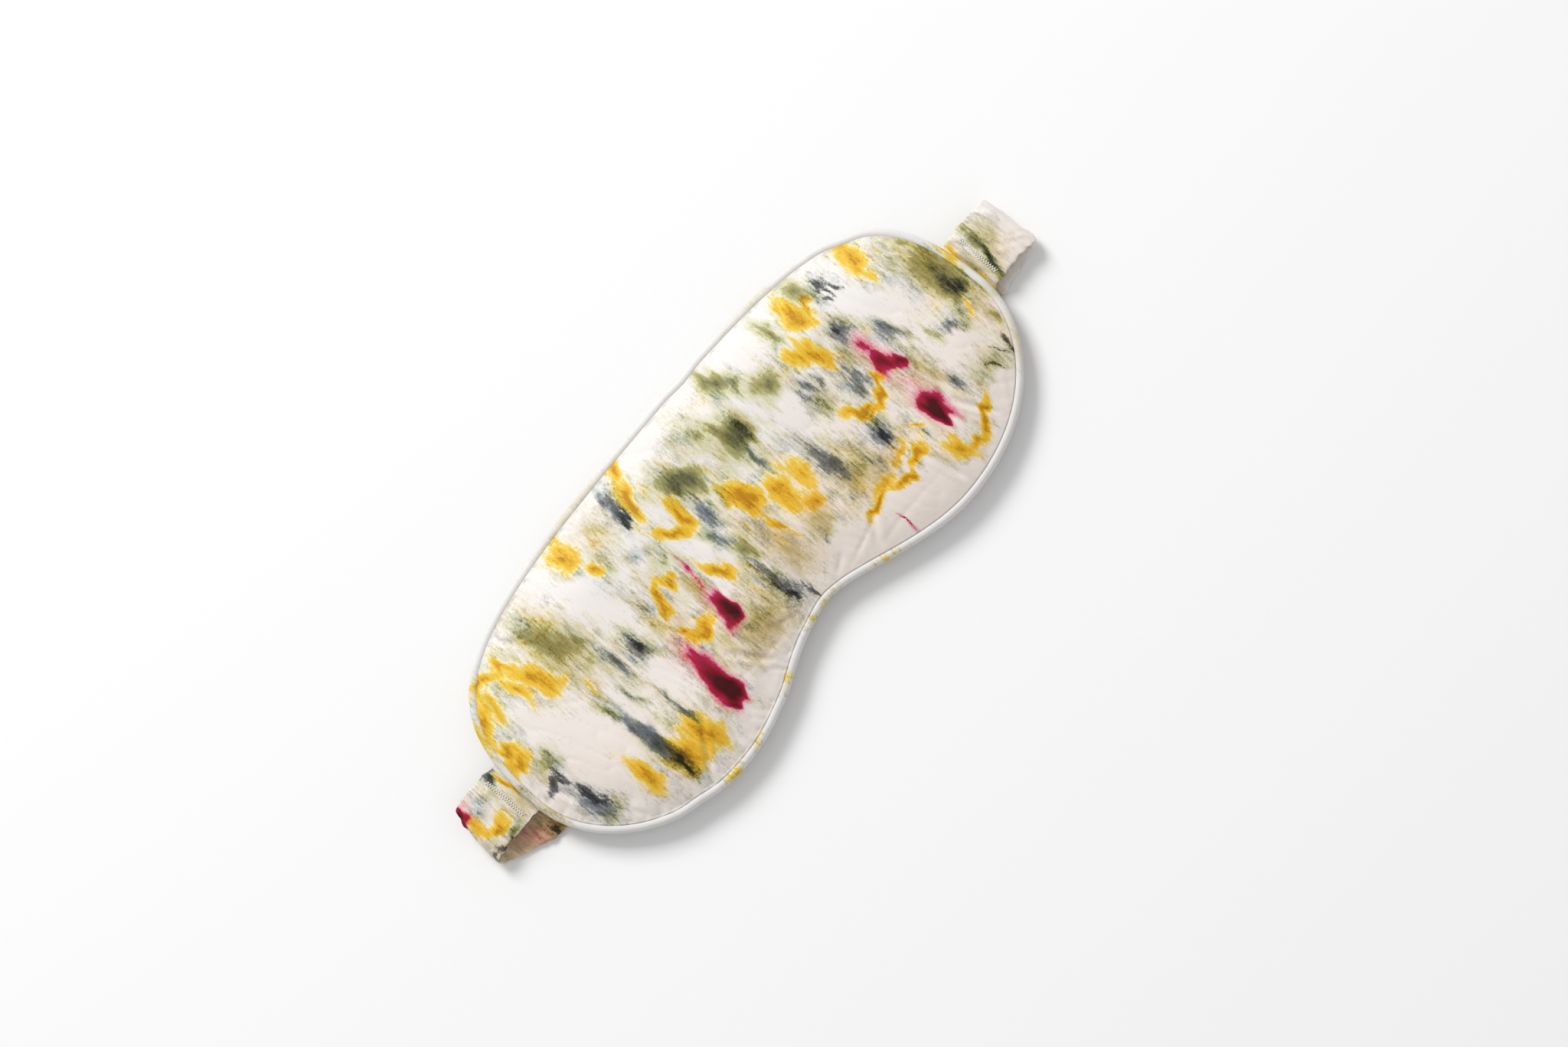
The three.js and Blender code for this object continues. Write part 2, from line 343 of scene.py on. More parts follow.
# %% Puckers, creases and slack
SHORT_PUCKER, LONG_PUCKER = 0.95, 0.85  # the deepest that each kind of pucker gets
SHORT_SPACING, LONG_SPACING = 2.1, 5.3
SHORT_REACH, LONG_REACH = 3.0, 7.0  # how far in each kind fades
NOTCH_DEPTH = 1.5
BROAD_SLACK, FINE_SLACK = 0.42, 0.20
CREASE_DEPTH = 1.8  # how much deeper than listed the creases were pressed
LIP_HEIGHT, LIP_PLACE = 0.45, 1.7  # the cloth pushed up on either side of a crease
FRONT_ROOM, BACK_ROOM = 0.25, 0.02  # what is kept free under the frame's top and above its underside
CREASES_START = 6.0  # creases and slack reach their full depth this far inside the seam


def seam_puckers(inset, along, seed):
    """Short gathers square to the seam, deepest at it and gone about 8 mm inside."""
    strength = 0.55 + 0.45 * hills(along / 31, along * 0, seed + 1)
    from_seam = inset - COVER_INSET
    short = folds(along / SHORT_SPACING, inset / 9 + 5, seed) ** 3 * np.exp(-from_seam / SHORT_REACH)
    long = folds(along / LONG_SPACING, inset / 16 + 9, seed + 2) ** 4 * np.exp(-from_seam / LONG_REACH)
    return -(SHORT_PUCKER * short + LONG_PUCKER * long) * strength * ease(from_seam / 0.6 + 0.25)


NOTCH = np.array([0.0, -34.0])  # just outside the seam, under the nose


def notch_creases(xy, seed):
    """Creases that fan out from the nose notch and fade over the mask."""
    away = xy - NOTCH
    reach = np.linalg.norm(away, axis=1)
    turn = np.arctan2(away[:, 0], away[:, 1])
    fan = folds(turn * 5.4 + 3, reach / 40, seed) ** 6
    return -NOTCH_DEPTH * fan * np.exp(-reach / 20) * ease((reach - 4) / 7)


def slack(xy, seed):
    """Broad hills where the wadding is lumpy, and small ones where the silk is loose on it."""
    x, y = xy.T
    broad = hills(x / 17, y / 23, seed) + 0.5 * hills(x / 8, y / 12, seed + 1)
    small = folds(x / 3.7 + y / 15, y / 11, seed + 2) ** 6
    return BROAD_SLACK * broad - FINE_SLACK * small


# start, end, half width and depth of each hard crease
CREASES = [
    ((-76, 39), (-71, 30), 1.0, 0.5), ((-93.5, 12), (-90, 33), 1.3, 0.7),
    ((-86.5, -29), (-84, -37), 0.9, 0.5), ((-98, -3), (-92, -24), 1.2, 0.5),
    ((54, -29), (55, -42), 1.0, 0.55), ((14, 34), (10, 20), 1.2, 0.3), ((91, 31), (103, 12), 1.1, 0.6),
    ((86, 33), (99, 11), 0.9, 0.4), ((33, 45), (34, 33), 1.2, 0.3), ((-52, -27), (-63, -41), 1.0, 0.45),
    ((-32, -20), (-24, -33), 1.1, 0.5), ((29, -26), (22, -35), 1.3, 0.26),
    ((70, -22), (77, -37), 0.9, 0.4), ((-27, 45), (-31, 33), 1.0, 0.3), ((62, 44), (56, 31), 1.1, 0.4),
    ((-90, 33), (-86, 40), 1.0, 0.5), ((-98, 16), (-95, 30), 0.9, 0.45),
    ((-86, 22), (-83, 37), 0.9, 0.35), ((-25, -18), (-28, -37), 0.9, 0.4),
    ((-17, -22), (-17, -34), 0.9, 0.4), ((-46, -30), (-50, -42), 0.9, 0.4),
    ((-70, -38), (-72, -45), 0.9, 0.4), ((99, -12), (94, -26), 1.0, 0.5),
    ((103, -4), (100, -18), 0.9, 0.4), ((88, -30), (80, -40), 0.9, 0.4),
    ((-8, -24), (-12, -33), 0.9, 0.5),
]


def hard_creases(xy):
    """The creases listed above, each deepest half way along."""
    depth = np.zeros(len(xy))
    for start, end, half_width, deep in CREASES:
        start, line = np.array(start, float), np.subtract(end, start).astype(float)
        share = (xy - start) @ line / (line @ line)
        off = np.linalg.norm(xy - start - np.clip(share, 0, 1)[:, None] * line, axis=1)
        across = off / half_width
        valley = np.exp(-(across**2)) - LIP_HEIGHT * np.exp(-((across - LIP_PLACE) ** 2))
        depth += CREASE_DEPTH * deep * valley * np.sin(np.pi * np.clip(share, 0, 1)) ** 0.5
    return -depth


def front_height(xy):
    """The height of the front silk's outer face at each point, in millimetres."""
    inset, along = from_edge(xy)
    inside = ease((inset - COVER_INSET) / CREASES_START)
    return (
        SEAM_LEVEL
        + swell(inset, FRONT_TOP - SEAM_LEVEL - FRONT_ROOM)
        + seam_puckers(inset, along, 11)
        + (notch_creases(xy, 21) + slack(xy, 31) + hard_creases(xy)) * inside
    )


def back_height(xy):
    """The height of the back silk's outer face; it never dips below its flat middle, where the strap lies."""
    inset, along = from_edge(xy)
    puckers = -0.5 * seam_puckers(inset, along, 41)
    loose = 0.16 * np.abs(slack(xy * 1.3, 51)) * ease((inset - 4) / 6)
    return SEAM_LEVEL - swell(inset, SEAM_LEVEL - BACK_TOP - BACK_ROOM) + (puckers + loose)


heights = front_height(front_panel[0])
print(f"front silk from {heights.min():.1f} to {heights.max():.1f} mm")

# %% [markdown]
# ## Turning a panel into a piece
# Cloth has two faces and a cut edge. We give each panel a second layer of the same points, turned over,
# and close the edge between them. Every piece also keeps where each point lay on the flat cloth, in an
# attribute, so that the weave and the dye stay on the thread when the cloth bends.

# %% Piece builder
def make_piece(name, points, faces, cloth=None):
    """A smooth-shaded object from points in millimetres; cloth is each point's place on the flat cloth."""
    mesh = bpy.data.meshes.new(name)
    mesh.from_pydata((np.asarray(points) * MM).tolist(), [], [tuple(f) for f in faces])
    mesh.polygons.foreach_set("use_smooth", [True] * len(mesh.polygons))
    kept = mesh.attributes.new("on_cloth", "FLOAT_VECTOR", "POINT")
    kept.data.foreach_set("vector", np.asarray(points if cloth is None else cloth, np.float32).ravel())
    mesh.validate()
    piece = bpy.data.objects.new(name, mesh)
    bpy.context.scene.collection.objects.link(piece)
    return piece


def layered(panel_parts, upper, lower):
    """Two layers of a panel at these heights, closed round the edge: points and faces, facing outward."""
    xy, triangles, count = panel_parts
    points = np.vstack([np.column_stack([xy, upper]), np.column_stack([xy, lower])])
    under = triangles[:, ::-1] + len(xy)
    ring = np.arange(count)
    following = (ring + 1) % count
    rim = np.column_stack([ring, ring + len(xy), following + len(xy), following])
    return points, [*triangles.tolist(), *under.tolist(), *rim.tolist()]


print("pieces are built in millimetres and stored in metres")

# %% [markdown]
# ## The dye
# The silk was dyed with petals and leaves: each was laid on the damp cloth, rolled up and steamed, and
# left a soft mark of its own colour that bled along the thread. A picture of the print would blur when
# seen close, so each mark is a few numbers instead: the place, size, lean and strength of one petal.
# Together they make a smooth field for each dye, kept on the mesh. Fine noise in the material then breaks
# each field into fibres, so the marks have crisp, feathered edges at any distance. The six dyes are
# marigold, crimson and leaf green, then slate blue, ink and tea.

# %% Dye marks
DYES = ("marigold", "crimson", "leaf", "slate", "ink", "tea")
# each dye's marks: x, y, half width, half length, lean in degrees and strength, then, where they matter, how
# much narrower the mark is at its top and how crisp its edge is. Ink lies where a petal's centre lay, and tea
# only tints the cloth.
FRONT_MARKS = {
    "marigold": [
        (-98, 12.5, 2.6, 5.2, 38, 1.0, 0.3), (-99, 7.0, 3.4, 5.4, 80, 1.0, 0.2),
        (-95.6, 23.4, 3.8, 6.6, -38, 1.0), (-89.6, 22.5, 2.8, 6.4, -16, 0.74),
        (-87, 31.4, 2.8, 6.2, -80, 1.0), (-81.6, 22, 1.5, 8.2, 4, 0.9, 0.1),
        (-75.6, 20.5, 3.6, 9.8, 20, 1.0, 0.2), (-80, 30, 2.2, 4.5, 50, 0.9),
        (-42.6, 37.2, 4.3, 6.0, 12, 0.95, -0.2), (-38.4, 27.6, 2.3, 3.6, 30, 0.9),
        (-12.4, 42.5, 3.2, 3.2, 60, 1.05), (-16.4, 33, 2.2, 7.4, -16, 1.2, -0.2),
        (-15, 17.5, 1.7, 6.8, 44, 1.05, 0.1), (-8.8, 18.4, 1.9, 5.8, -14, 1.1, -0.2),
        (-32.4, 6.0, 2.0, 5.0, -36, 1.05, 0.2), (-27.2, 7.4, 1.6, 4.0, 34, 0.95),
        (-14.6, -0.5, 1.6, 7.8, 22, 1.0, 0.2), (7, 6.8, 3.4, 7.0, 22, 1.15, 0.35),
        (8, -7.0, 0.8, 6.5, 16, 0.9, -0.3), (16.8, -2.2, 4.0, 8.6, -2, 0.8, 0.0, 1.6),
        (23.6, -1.8, 3.9, 7.8, 4, 0.74, 0.0, 1.4), (20, -11, 2.8, 4.0, 0, 0.85),
        (50.6, 22, 3.0, 5.4, 30, 0.9, 0.2), (54.4, 18, 2.6, 7.4, 12, 1.0, 0.1),
        (59, 30.6, 3.2, 6.8, 10, 1.0, 0.1), (63.3, 30.4, 1.5, 3.4, 84, 1.0),
        (83.6, 29.6, 3.8, 6.2, 6, 0.95, -0.1), (83.5, 21.4, 2.6, 4.4, 8, 0.64),
        (49.6, -3.6, 1.8, 6.2, 40, 1.15, 0.1), (58.6, -4.6, 1.7, 6.4, -52, 1.15, 0.2),
        (52.6, -8.2, 1.6, 3.0, -84, 1.0), (32.6, -26.4, 1.1, 5.8, -80, 1.15, 0.4),
        (42.4, -27.4, 1.3, 5.6, 68, 1.1), (51.2, -26.2, 1.5, 4.4, -62, 1.1, -0.2),
        (38, -24, 2.4, 7.2, -84, 0.74), (48, -22, 2.6, 5.0, 90, 0.66), (57.5, -21, 1.0, 2.0, 60, 1.0),
        (60.4, -33.6, 2.6, 5.2, 14, 1.0, -0.1), (65.8, -36.4, 1.8, 5.2, 84, 0.95),
        (73.6, -33.2, 1.5, 7.2, -52, 1.05, 0.2), (-75.8, -24.5, 2.5, 9.0, 4, 0.95, 0.3),
        (-63.2, -30.8, 6.2, 7.6, 2, 0.9, 0.0, 1.5), (-54.6, -30.0, 5.0, 8.2, 10, 0.9, 0.1, 1.5),
        (-31.2, -9.4, 4.9, 3.2, 4, 1.05), (-34.6, -6, 1.4, 3.4, 40, 0.9), (95.4, -8.4, 1.0, 4.2, -16, 0.72),
        (-66.4, 5, 2.0, 3.0, 0, 0.6), (-99.6, 20.6, 1.2, 4.0, 10, 0.9),
    ],
    "crimson": [
        (66.6, -0.2, 4.3, 5.2, 8, 0.74, 0.1, 1.5), (69.4, -2.0, 1.8, 3.8, 8, 1.05, 0.1),
        (65.6, 6.4, 3.4, 4.6, 10, 0.62), (65.6, -20, 4.0, 7.4, 2, 0.76, 0.1, 1.4),
        (65.4, -21, 2.4, 4.8, 2, 1.45, 0.1), (-39.6, -21.8, 4.1, 11.8, -5, 0.8, 0.14, 1.5),
        (-39.4, -26, 2.2, 7.0, -3, 1.45, 0.3), (-42.0, -32, 1.2, 2.8, 10, 1.0, -0.4),
        (-21.6, -11.8, 3.2, 6.6, -9, 0.82, 0.42, 1.5), (-20.4, -13, 1.8, 4.4, -4, 1.45, 0.2),
        (-20.6, 2.5, 1.0, 9.5, -6, 0.6, 0.5), (33.8, -36.6, 0.42, 3.4, -2, 0.8, 0.2),
        (-40.5, -12, 4.6, 8.0, -5, 0.46), (66, -10, 4.6, 5.2, 0, 0.4), (-22.5, -5, 3.6, 6.0, -6, 0.42, 0.2),
        (65, 3, 5.0, 6.0, 0, 0.42),
    ],
    "leaf": [
        (-1.6, 25.4, 5.4, 9.8, 34, 0.7, 0.1, 2.6), (-4.6, 23.6, 2.8, 6.4, 34, 0.66, 0.1),
        (20, 22, 6.6, 8.2, -4, 0.7, 0.0, 2.6), (22.4, 23, 3.0, 6.4, -4, 0.92),
        (98.2, 6.4, 5.2, 9.8, 6, 0.98, -0.1), (97.6, 0.2, 5.0, 6.8, 4, 0.86, 0.0, 2.4),
        (103, 4, 1.4, 10.4, 3, 0.8), (27.8, 36.6, 3.4, 5.0, 20, 0.8, 0.0, 1.6),
        (31.4, 31, 2.0, 3.0, 20, 0.8), (37.5, 23.4, 3.9, 4.0, 20, 0.95), (50.5, 33.6, 1.9, 5.2, 14, 0.9),
        (65.6, 34.6, 3.2, 4.4, 20, 0.95), (12, 30.6, 4.7, 6.8, 22, 0.62),
        (-64, 22.5, 4.6, 10.8, 12, 0.86, 0.1), (-66.6, 27.6, 2.4, 5.4, 12, 0.92),
        (-59.2, 16.6, 2.4, 5.2, 8, 0.8), (-92.6, -1, 3.9, 3.4, 0, 0.72), (-68.2, -4.6, 1.2, 4.0, 14, 0.95),
        (-4.2, -3.4, 2.9, 4.6, 8, 0.9), (-16, -21, 8.6, 4.2, 2, 0.6), (37, -14, 5.6, 4.2, 0, 0.62),
        (86.4, -25, 6.4, 4.2, -6, 0.58), (98.6, -16, 1.2, 3.2, -10, 0.8), (82, -7, 1.0, 3.8, 0, 0.66),
        (-60.8, 9.6, 3.0, 3.4, 0, 0.62), (-24, 12, 3.6, 3.0, 30, 0.62), (44, 6, 3.4, 3.6, 0, 0.58),
        (97, 20, 3.2, 5.2, 14, 0.6), (72, -7.6, 2.6, 3.2, 0, 0.6), (3.4, 12.4, 2.4, 3.6, 0, 0.62),
    ],
    "slate": [
        (-20.8, 33.6, 1.9, 7.6, -14, 1.05, -0.2), (-21.6, 38, 1.3, 3.0, -10, 0.9),
        (-47.6, 0.6, 2.5, 4.6, 6, 1.0, 0.2), (-56, 3.4, 1.3, 7.0, 6, 0.85, 0.2),
        (-51.6, 3.6, 1.1, 3.2, 0, 0.78), (-28, 19, 2.2, 2.6, 10, 0.58), (-3.6, 12.6, 2.0, 5.8, 4, 0.86),
        (-7.2, 5, 1.9, 4.2, 6, 0.86), (-37.5, 8.5, 2.0, 5.4, 4, 0.62), (-66, -22, 1.7, 14.5, 2, 1.1, 0.35),
        (-53.3, -19, 0.8, 7.0, 4, 0.95, 0.3), (-5.2, -18, 2.0, 10.2, 5, 0.9, 0.3),
        (31.6, -5.4, 2.4, 7.8, 6, 0.9, 0.2), (33, -10, 1.8, 3.8, 2, 0.95), (45.4, 12.4, 1.2, 4.4, 8, 0.85),
        (42.6, 11.6, 0.8, 4.0, 2, 0.8), (48.4, 11.6, 0.9, 3.6, 4, 0.8), (65, 15.6, 2.7, 4.4, 10, 0.92, 0.1),
        (56, 2.6, 3.4, 4.4, 8, 0.84), (19.6, 11.6, 0.8, 4.6, 2, 1.0, 0.2), (87.4, -8.2, 3.2, 2.6, 0, 0.78),
        (75.6, -21, 1.3, 3.2, 4, 0.95), (-92, -19.5, 3.5, 8.4, 10, 0.84, 0.2),
        (-94.4, -22.4, 0.9, 4.0, 14, 0.9), (49, -12.6, 2.6, 4.6, 4, 1.0, 0.1),
        (14.2, -20, 1.0, 2.0, 0, 0.72), (73.4, 6, 2.2, 5.0, 14, 0.9, 0.2), (-60, -6.6, 0.8, 3.4, 2, 0.8),
    ],
    "ink": [
        (97.8, -1.2, 3.2, 5.8, 6, 0.62), (23.2, 22, 1.6, 5.6, 0, 0.72), (69.6, 27.6, 0.6, 3.0, 10, 1.0),
        (72.0, 27.2, 0.5, 2.8, 6, 1.0), (74.4, 27.0, 0.5, 2.4, 10, 0.95), (71.6, 30, 2.6, 1.4, 0, 0.8),
        (-95.6, -7, 1.8, 3.8, 84, 1.0), (-92.0, -5.4, 1.0, 3.0, 30, 0.8),
        (-91, -16, 1.0, 6.4, 10, 0.9, 0.3), (-88.4, -20, 0.7, 5.0, 12, 0.8, 0.2),
        (49.2, -13.4, 1.4, 3.2, 0, 0.9), (87, -27, 0.45, 3.2, 46, 1.0), (94.3, -23, 0.5, 3.2, -16, 1.0),
        (90.8, -21.5, 0.4, 2.6, 40, 0.9), (-47, 1.4, 1.3, 2.8, 4, 0.9), (-66, -32, 0.9, 5.0, 4, 0.9, 0.2),
        (64.4, 17, 0.9, 2.6, 4, 0.8), (-21.0, 29, 1.1, 3.6, -24, 1.0), (-5.4, -24, 0.8, 4.4, 5, 0.82),
        (-0.8, -26, 0.5, 3.0, -6, 0.8),
    ],
    "tea": [
        (-31, 33.6, 6.4, 6.4, 20, 0.62), (-35.5, -2.5, 4.8, 6.8, 0, 0.7), (-23.5, 0, 1.4, 4.0, 6, 0.95),
        (-17, -24, 9.5, 5.8, 2, 0.86), (34, -15, 6.2, 6.2, 0, 0.84), (17.5, -15, 5.2, 4.6, 0, 0.84),
        (4.6, -11, 4.6, 11.5, 4, 0.84), (72.6, -13.5, 1.6, 5.0, 10, 0.95), (42, -20, 8.0, 3.4, 0, 0.8),
        (97.2, 9, 7.0, 13.0, 6, 0.6), (-63, 20, 6.6, 13.0, 8, 0.62), (58, 9.4, 5.4, 4.4, 0, 0.64),
    ],
}
CRISP = {"marigold": 1.25, "crimson": 1.0, "leaf": 0.9, "slate": 0.9, "ink": 1.0, "tea": 0.7}
CLEAN_BROW, BROW_FADE = 43.0, 8  # beyond this level, at the brow, the cloth stayed nearly clean
SOFTENED = 2.6  # how many times its own size each mark's haze reaches
BLED = 0.55  # how much of the bare cloth one mark's haze takes
PETAL_EDGE = 0.36  # from this much marigold or crimson on, the other dyes' haze gives way to it


# the haze that bled from the marks: its dye, the size of its patches, its most and its seed
HAZES = (
    ("leaf", 4.6, 0.44, 10),
    ("slate", 3.6, 0.42, 11),
    ("tea", 6.0, 0.42, 12),
    ("marigold", 5.4, 0.42, 13),
)


def petal(dye_name, x, y, half_width, half_length, lean, strength, taper=0.0, crisp=None):
    """One mark, with every value filled in."""
    return dye_name, x, y, half_width, half_length, lean, strength, taper, crisp or CRISP[dye_name]


def petals(table):
    """The marks of a table that lists them by dye."""
    return [petal(dye_name, *values) for dye_name, rows in table.items() for values in rows]


def dye_fields(flat, marks, seed):
    """For each dye: 1 in the middle of its marks, 0.5 at their edges and less in the haze."""
    x, y = np.asarray(flat, float)[:, :2].T

    def wander(size, k):
        return hills(x / size, y / size / 1.3, seed + k)

    # the marks' edges wander, and run furthest along the thread
    warped_x = x + 1.0 * wander(4.6, 2) + 0.6 * wander(2.1, 3)
    warped_y = y + 1.3 * wander(5.3, 4) + 0.7 * wander(2.3, 5) + 2.1 * hills(x / 1.9, y / 14, seed)
    fields = np.zeros((len(x), len(DYES)))
    bare = np.ones(len(x))
    for dye_name, mark_x, mark_y, half_width, half_length, lean, strength, taper, crisp in marks:
        turn = math.radians(lean)
        off_x, off_y = warped_x - mark_x, warped_y - mark_y
        across = (off_x * math.cos(turn) + off_y * math.sin(turn)) / half_width
        along = (off_y * math.cos(turn) - off_x * math.sin(turn)) / half_length
        across /= np.clip(1 - taper * along, 0.3, 2.0)
        out = (np.abs(across) ** 3.0 + np.abs(along) ** np.where(along > 0, 2.4, 4.5)) ** (1 / 3.0)
        column = DYES.index(dye_name)
        amount = (0.5 + 0.5 * crisp * (1 - out)) * min(strength, 1)
        fields[:, column] = np.maximum(fields[:, column], np.clip(amount, 0, 1) * max(strength, 1))
        bare *= 1 - BLED * np.exp(-((out / SOFTENED) ** 2) * 2.0) * (strength > 0.5)
    petal_dye = fields[:, : DYES.index("leaf")].max(1)
    clear = 1 - 0.8 * ease((petal_dye - PETAL_EDGE) / 0.14)
    margin = 0.2 + 0.8 * ease((CLEAN_BROW - y) / BROW_FADE)
    for dye_name, size, most, k in HAZES:
        column = DYES.index(dye_name)
        patch = hills(x / size, y / size / 1.8, seed + k)
        patch += 0.7 * hills(x / size * 2.4, y / size, seed + k + 5)
        haze = most * np.clip(0.42 + 0.70 * patch, 0, 1) * ease(1.35 * (1 - bare)) * margin
        if dye_name != "marigold":
            haze *= clear
        fields[:, column] = np.maximum(fields[:, column], haze)
    return fields


def dye(piece, flat, marks, seed):
    """Keeps the dye fields on a piece, three dyes to an attribute."""
    fields = dye_fields(flat, marks, seed)
    for name, first in (("petal_dyes", 0), ("leaf_dyes", 3)):
        kept = piece.data.attributes.new(name, "FLOAT_COLOR", "POINT")
        colours = np.column_stack([fields[:, first : first + 3], np.ones(len(fields))])
        kept.data.foreach_set("color", colours.astype(np.float32).ravel())


front_marks = petals(FRONT_MARKS)
print(len(front_marks), "marks on the front")

# %% [markdown]
# ## A helper for materials
# A material's nodes can be placed by hand, but in code a small helper keeps each one to a line: it adds a
# node, and fills its sockets with numbers or with the output of an earlier node.

# %% Node helpers
def add_node(tree, kind, sockets=None, **settings):
    """Adds a node; sockets maps a socket's name or number to a value or to another node's output."""
    node = tree.nodes.new(kind)
    for name, value in settings.items():
        setattr(node, name, value)
    for name, value in (sockets or {}).items():
        if isinstance(value, bpy.types.NodeSocket):
            tree.links.new(value, node.inputs[name])
        else:
            node.inputs[name].default_value = value
    return node


def maths(tree, operation, *values):
    """The result of a Math node on these values."""
    return add_node(tree, "ShaderNodeMath", dict(enumerate(values)), operation=operation).outputs[0]


def remap(tree, value, low, high, new_low=0.0, new_high=1.0):
    """A value that runs from low to high, made to run from new_low to new_high."""
    sockets = {0: value, 1: low, 2: high, 3: new_low, 4: new_high}
    return add_node(tree, "ShaderNodeMapRange", sockets).outputs[0]


def cloth_place(tree):
    """Where a point lies on the flat cloth, in millimetres."""
    return add_node(tree, "ShaderNodeAttribute", attribute_name="on_cloth").outputs["Vector"]


def relief(tree, surface, height, depth, strength):
    """Turns a height between 0 and 1 into a bump of this depth in millimetres."""
    bump = add_node(tree, "ShaderNodeBump", {"Strength": strength, "Distance": depth * MM, "Height": height})
    tree.links.new(bump.outputs[0], surface.inputs["Normal"])


def ramp(tree, share, stops):
    """The colour that a share picks from stops of (position, colour)."""
    node = add_node(tree, "ShaderNodeValToRGB", {0: share})
    elements = node.color_ramp.elements
    while len(elements) < len(stops):
        elements.new(0.5)
    for element, (position, colour) in zip(elements, stops):
        element.position = position
        element.color = (*colour, 1)
    return node.outputs[0]


def mixed(tree, kind, share, first, second):
    """Two colours mixed; share, first and second are values or outputs."""
    colours = {0: share, 6: first, 7: second}
    return add_node(tree, "ShaderNodeMix", colours, data_type="RGBA", blend_type=kind).outputs[2]


def thread_noise(tree, place, stretch, detail=3.0, roughness=0.55):
    """Noise stretched along the thread; stretch says how many spots fill a millimetre of x, y and z."""
    scaled = add_node(tree, "ShaderNodeMapping", {0: place, 3: stretch}).outputs[0]
    sockets = {"Vector": scaled, "Scale": 1.0, "Detail": detail, "Roughness": roughness}
    return add_node(tree, "ShaderNodeTexNoise", sockets).outputs[0]


def new_material(name):
    """An empty node material: its tree and its surface shader."""
    material = bpy.data.materials.new(name)
    material.use_nodes = True
    return material, material.node_tree, material.node_tree.nodes["Principled BSDF"]


print("node helpers ready")

# %% [markdown]
# ## Silk
# Silk satin has a soft broad shine, a faint rib where threads are thicker, and a little fuzz that catches
# the light at grazing angles. The shader's sheen stands for the fuzz. Its roughness follows the slubs,
# and its bump is two weaves: the rib, which runs along y, and a much finer grain. The dyed silk
# multiplies one colour for each dye, as real dyes do: where two marks cross, the cloth is darker than
# either.

# %% Silk materials
def silk_body(tree, surface, place, rib_height, colour):
    """The parts that all the silks share: rib, grain, sheen and roughness."""
    rib = thread_noise(tree, place, (2.6, 0.16, 2.6), 2.0)
    grain = thread_noise(tree, place, (4.2, 4.2, 4.2), 3.0)
    height = maths(tree, "ADD", rib, maths(tree, "MULTIPLY", grain, 0.7))
    relief(tree, surface, height, rib_height, 0.55)
    tree.links.new(colour, surface.inputs["Base Color"])
    tree.links.new(remap(tree, rib, 0.3, 0.7, 0.42, 0.60), surface.inputs["Roughness"])
    surface.inputs["Sheen Weight"].default_value = 0.14
    surface.inputs["Sheen Roughness"].default_value = 0.35
    surface.inputs["Specular IOR Level"].default_value = 0.20


CLOTH = (0.80, 0.78, 0.755)
# the nose side's colour: the cloth's warmer tone, darkened with painted shade because that side faces away
# from the light
BLUSH_AND_SHADE = (0.81, 0.725, 0.66)  # the warmer cast of the cloth towards the nose side
PIPING_CLOTH = (0.72, 0.705, 0.685)
UNDYED = (1.0, 1.0, 1.0)
# for each dye: the colour that the cloth is multiplied by, as the amount of dye grows
DYE_COLOURS = {
    "marigold": [
        (0.20, UNDYED), (0.40, (0.99, 0.96, 0.82)), (0.47, (1.0, 0.90, 0.52)), (0.51, (0.99, 0.77, 0.17)),
        (0.68, (0.97, 0.65, 0.055)), (0.88, (0.86, 0.50, 0.02)), (1.15, (0.62, 0.31, 0.008)),
    ],
    "crimson": [
        (0.18, UNDYED), (0.36, (0.96, 0.70, 0.76)), (0.47, (0.84, 0.26, 0.42)),
        (0.54, (0.50, 0.012, 0.085)), (0.80, (0.22, 0.002, 0.016)), (1.1, (0.07, 0.001, 0.005)),
    ],
    "leaf": [
        (0.12, UNDYED), (0.32, (0.87, 0.87, 0.72)), (0.47, (0.74, 0.75, 0.49)),
        (0.53, (0.52, 0.52, 0.25)), (0.75, (0.33, 0.33, 0.135)), (1.0, (0.14, 0.145, 0.065)),
    ],
    "slate": [
        (0.14, UNDYED), (0.34, (0.78, 0.82, 0.84)), (0.47, (0.60, 0.66, 0.68)),
        (0.54, (0.33, 0.38, 0.42)), (0.80, (0.15, 0.18, 0.24)), (1.1, (0.08, 0.10, 0.14)),
    ],
    "ink": [
        (0.30, UNDYED), (0.47, (0.62, 0.63, 0.64)), (0.55, (0.24, 0.25, 0.27)),
        (0.85, (0.10, 0.11, 0.12)),
    ],
    "tea": [
        (0.14, UNDYED), (0.40, (0.90, 0.84, 0.70)), (0.55, (0.80, 0.70, 0.48)),
        (0.90, (0.66, 0.52, 0.30)),
    ],
}
EDGE_BREAK = {"marigold": 1.5, "crimson": 0.55, "leaf": 1.0, "slate": 1.7, "ink": 1.8, "tea": 1.0}


def dyed_colour(tree, place, colour, strength=1.0):
    """The colour once each dye has multiplied it, with every dye's edge broken by the fibres."""
    fibre = thread_noise(tree, place, (1.15, 0.20, 1.0), 5.0, 0.60)
    speck = thread_noise(tree, place, (1.7, 1.1, 1.7), 6.0, 0.82)
    broken = maths(tree, "ADD", maths(tree, "MULTIPLY", fibre, 0.5), maths(tree, "MULTIPLY", speck, 0.5))
    centred = maths(tree, "SUBTRACT", broken, 0.5)
    for name, dyes in (("petal_dyes", DYES[:3]), ("leaf_dyes", DYES[3:])):
        held = add_node(tree, "ShaderNodeAttribute", attribute_name=name).outputs["Color"]
        split = add_node(tree, "ShaderNodeSeparateColor", {0: held})
        for channel, dye_name in enumerate(dyes):
            shift = maths(tree, "MULTIPLY", centred, EDGE_BREAK[dye_name] * strength)
            amount = maths(tree, "ADD", split.outputs[channel], shift)
            colour = mixed(tree, "MULTIPLY", 1.0, colour, ramp(tree, amount, DYE_COLOURS[dye_name]))
    return colour


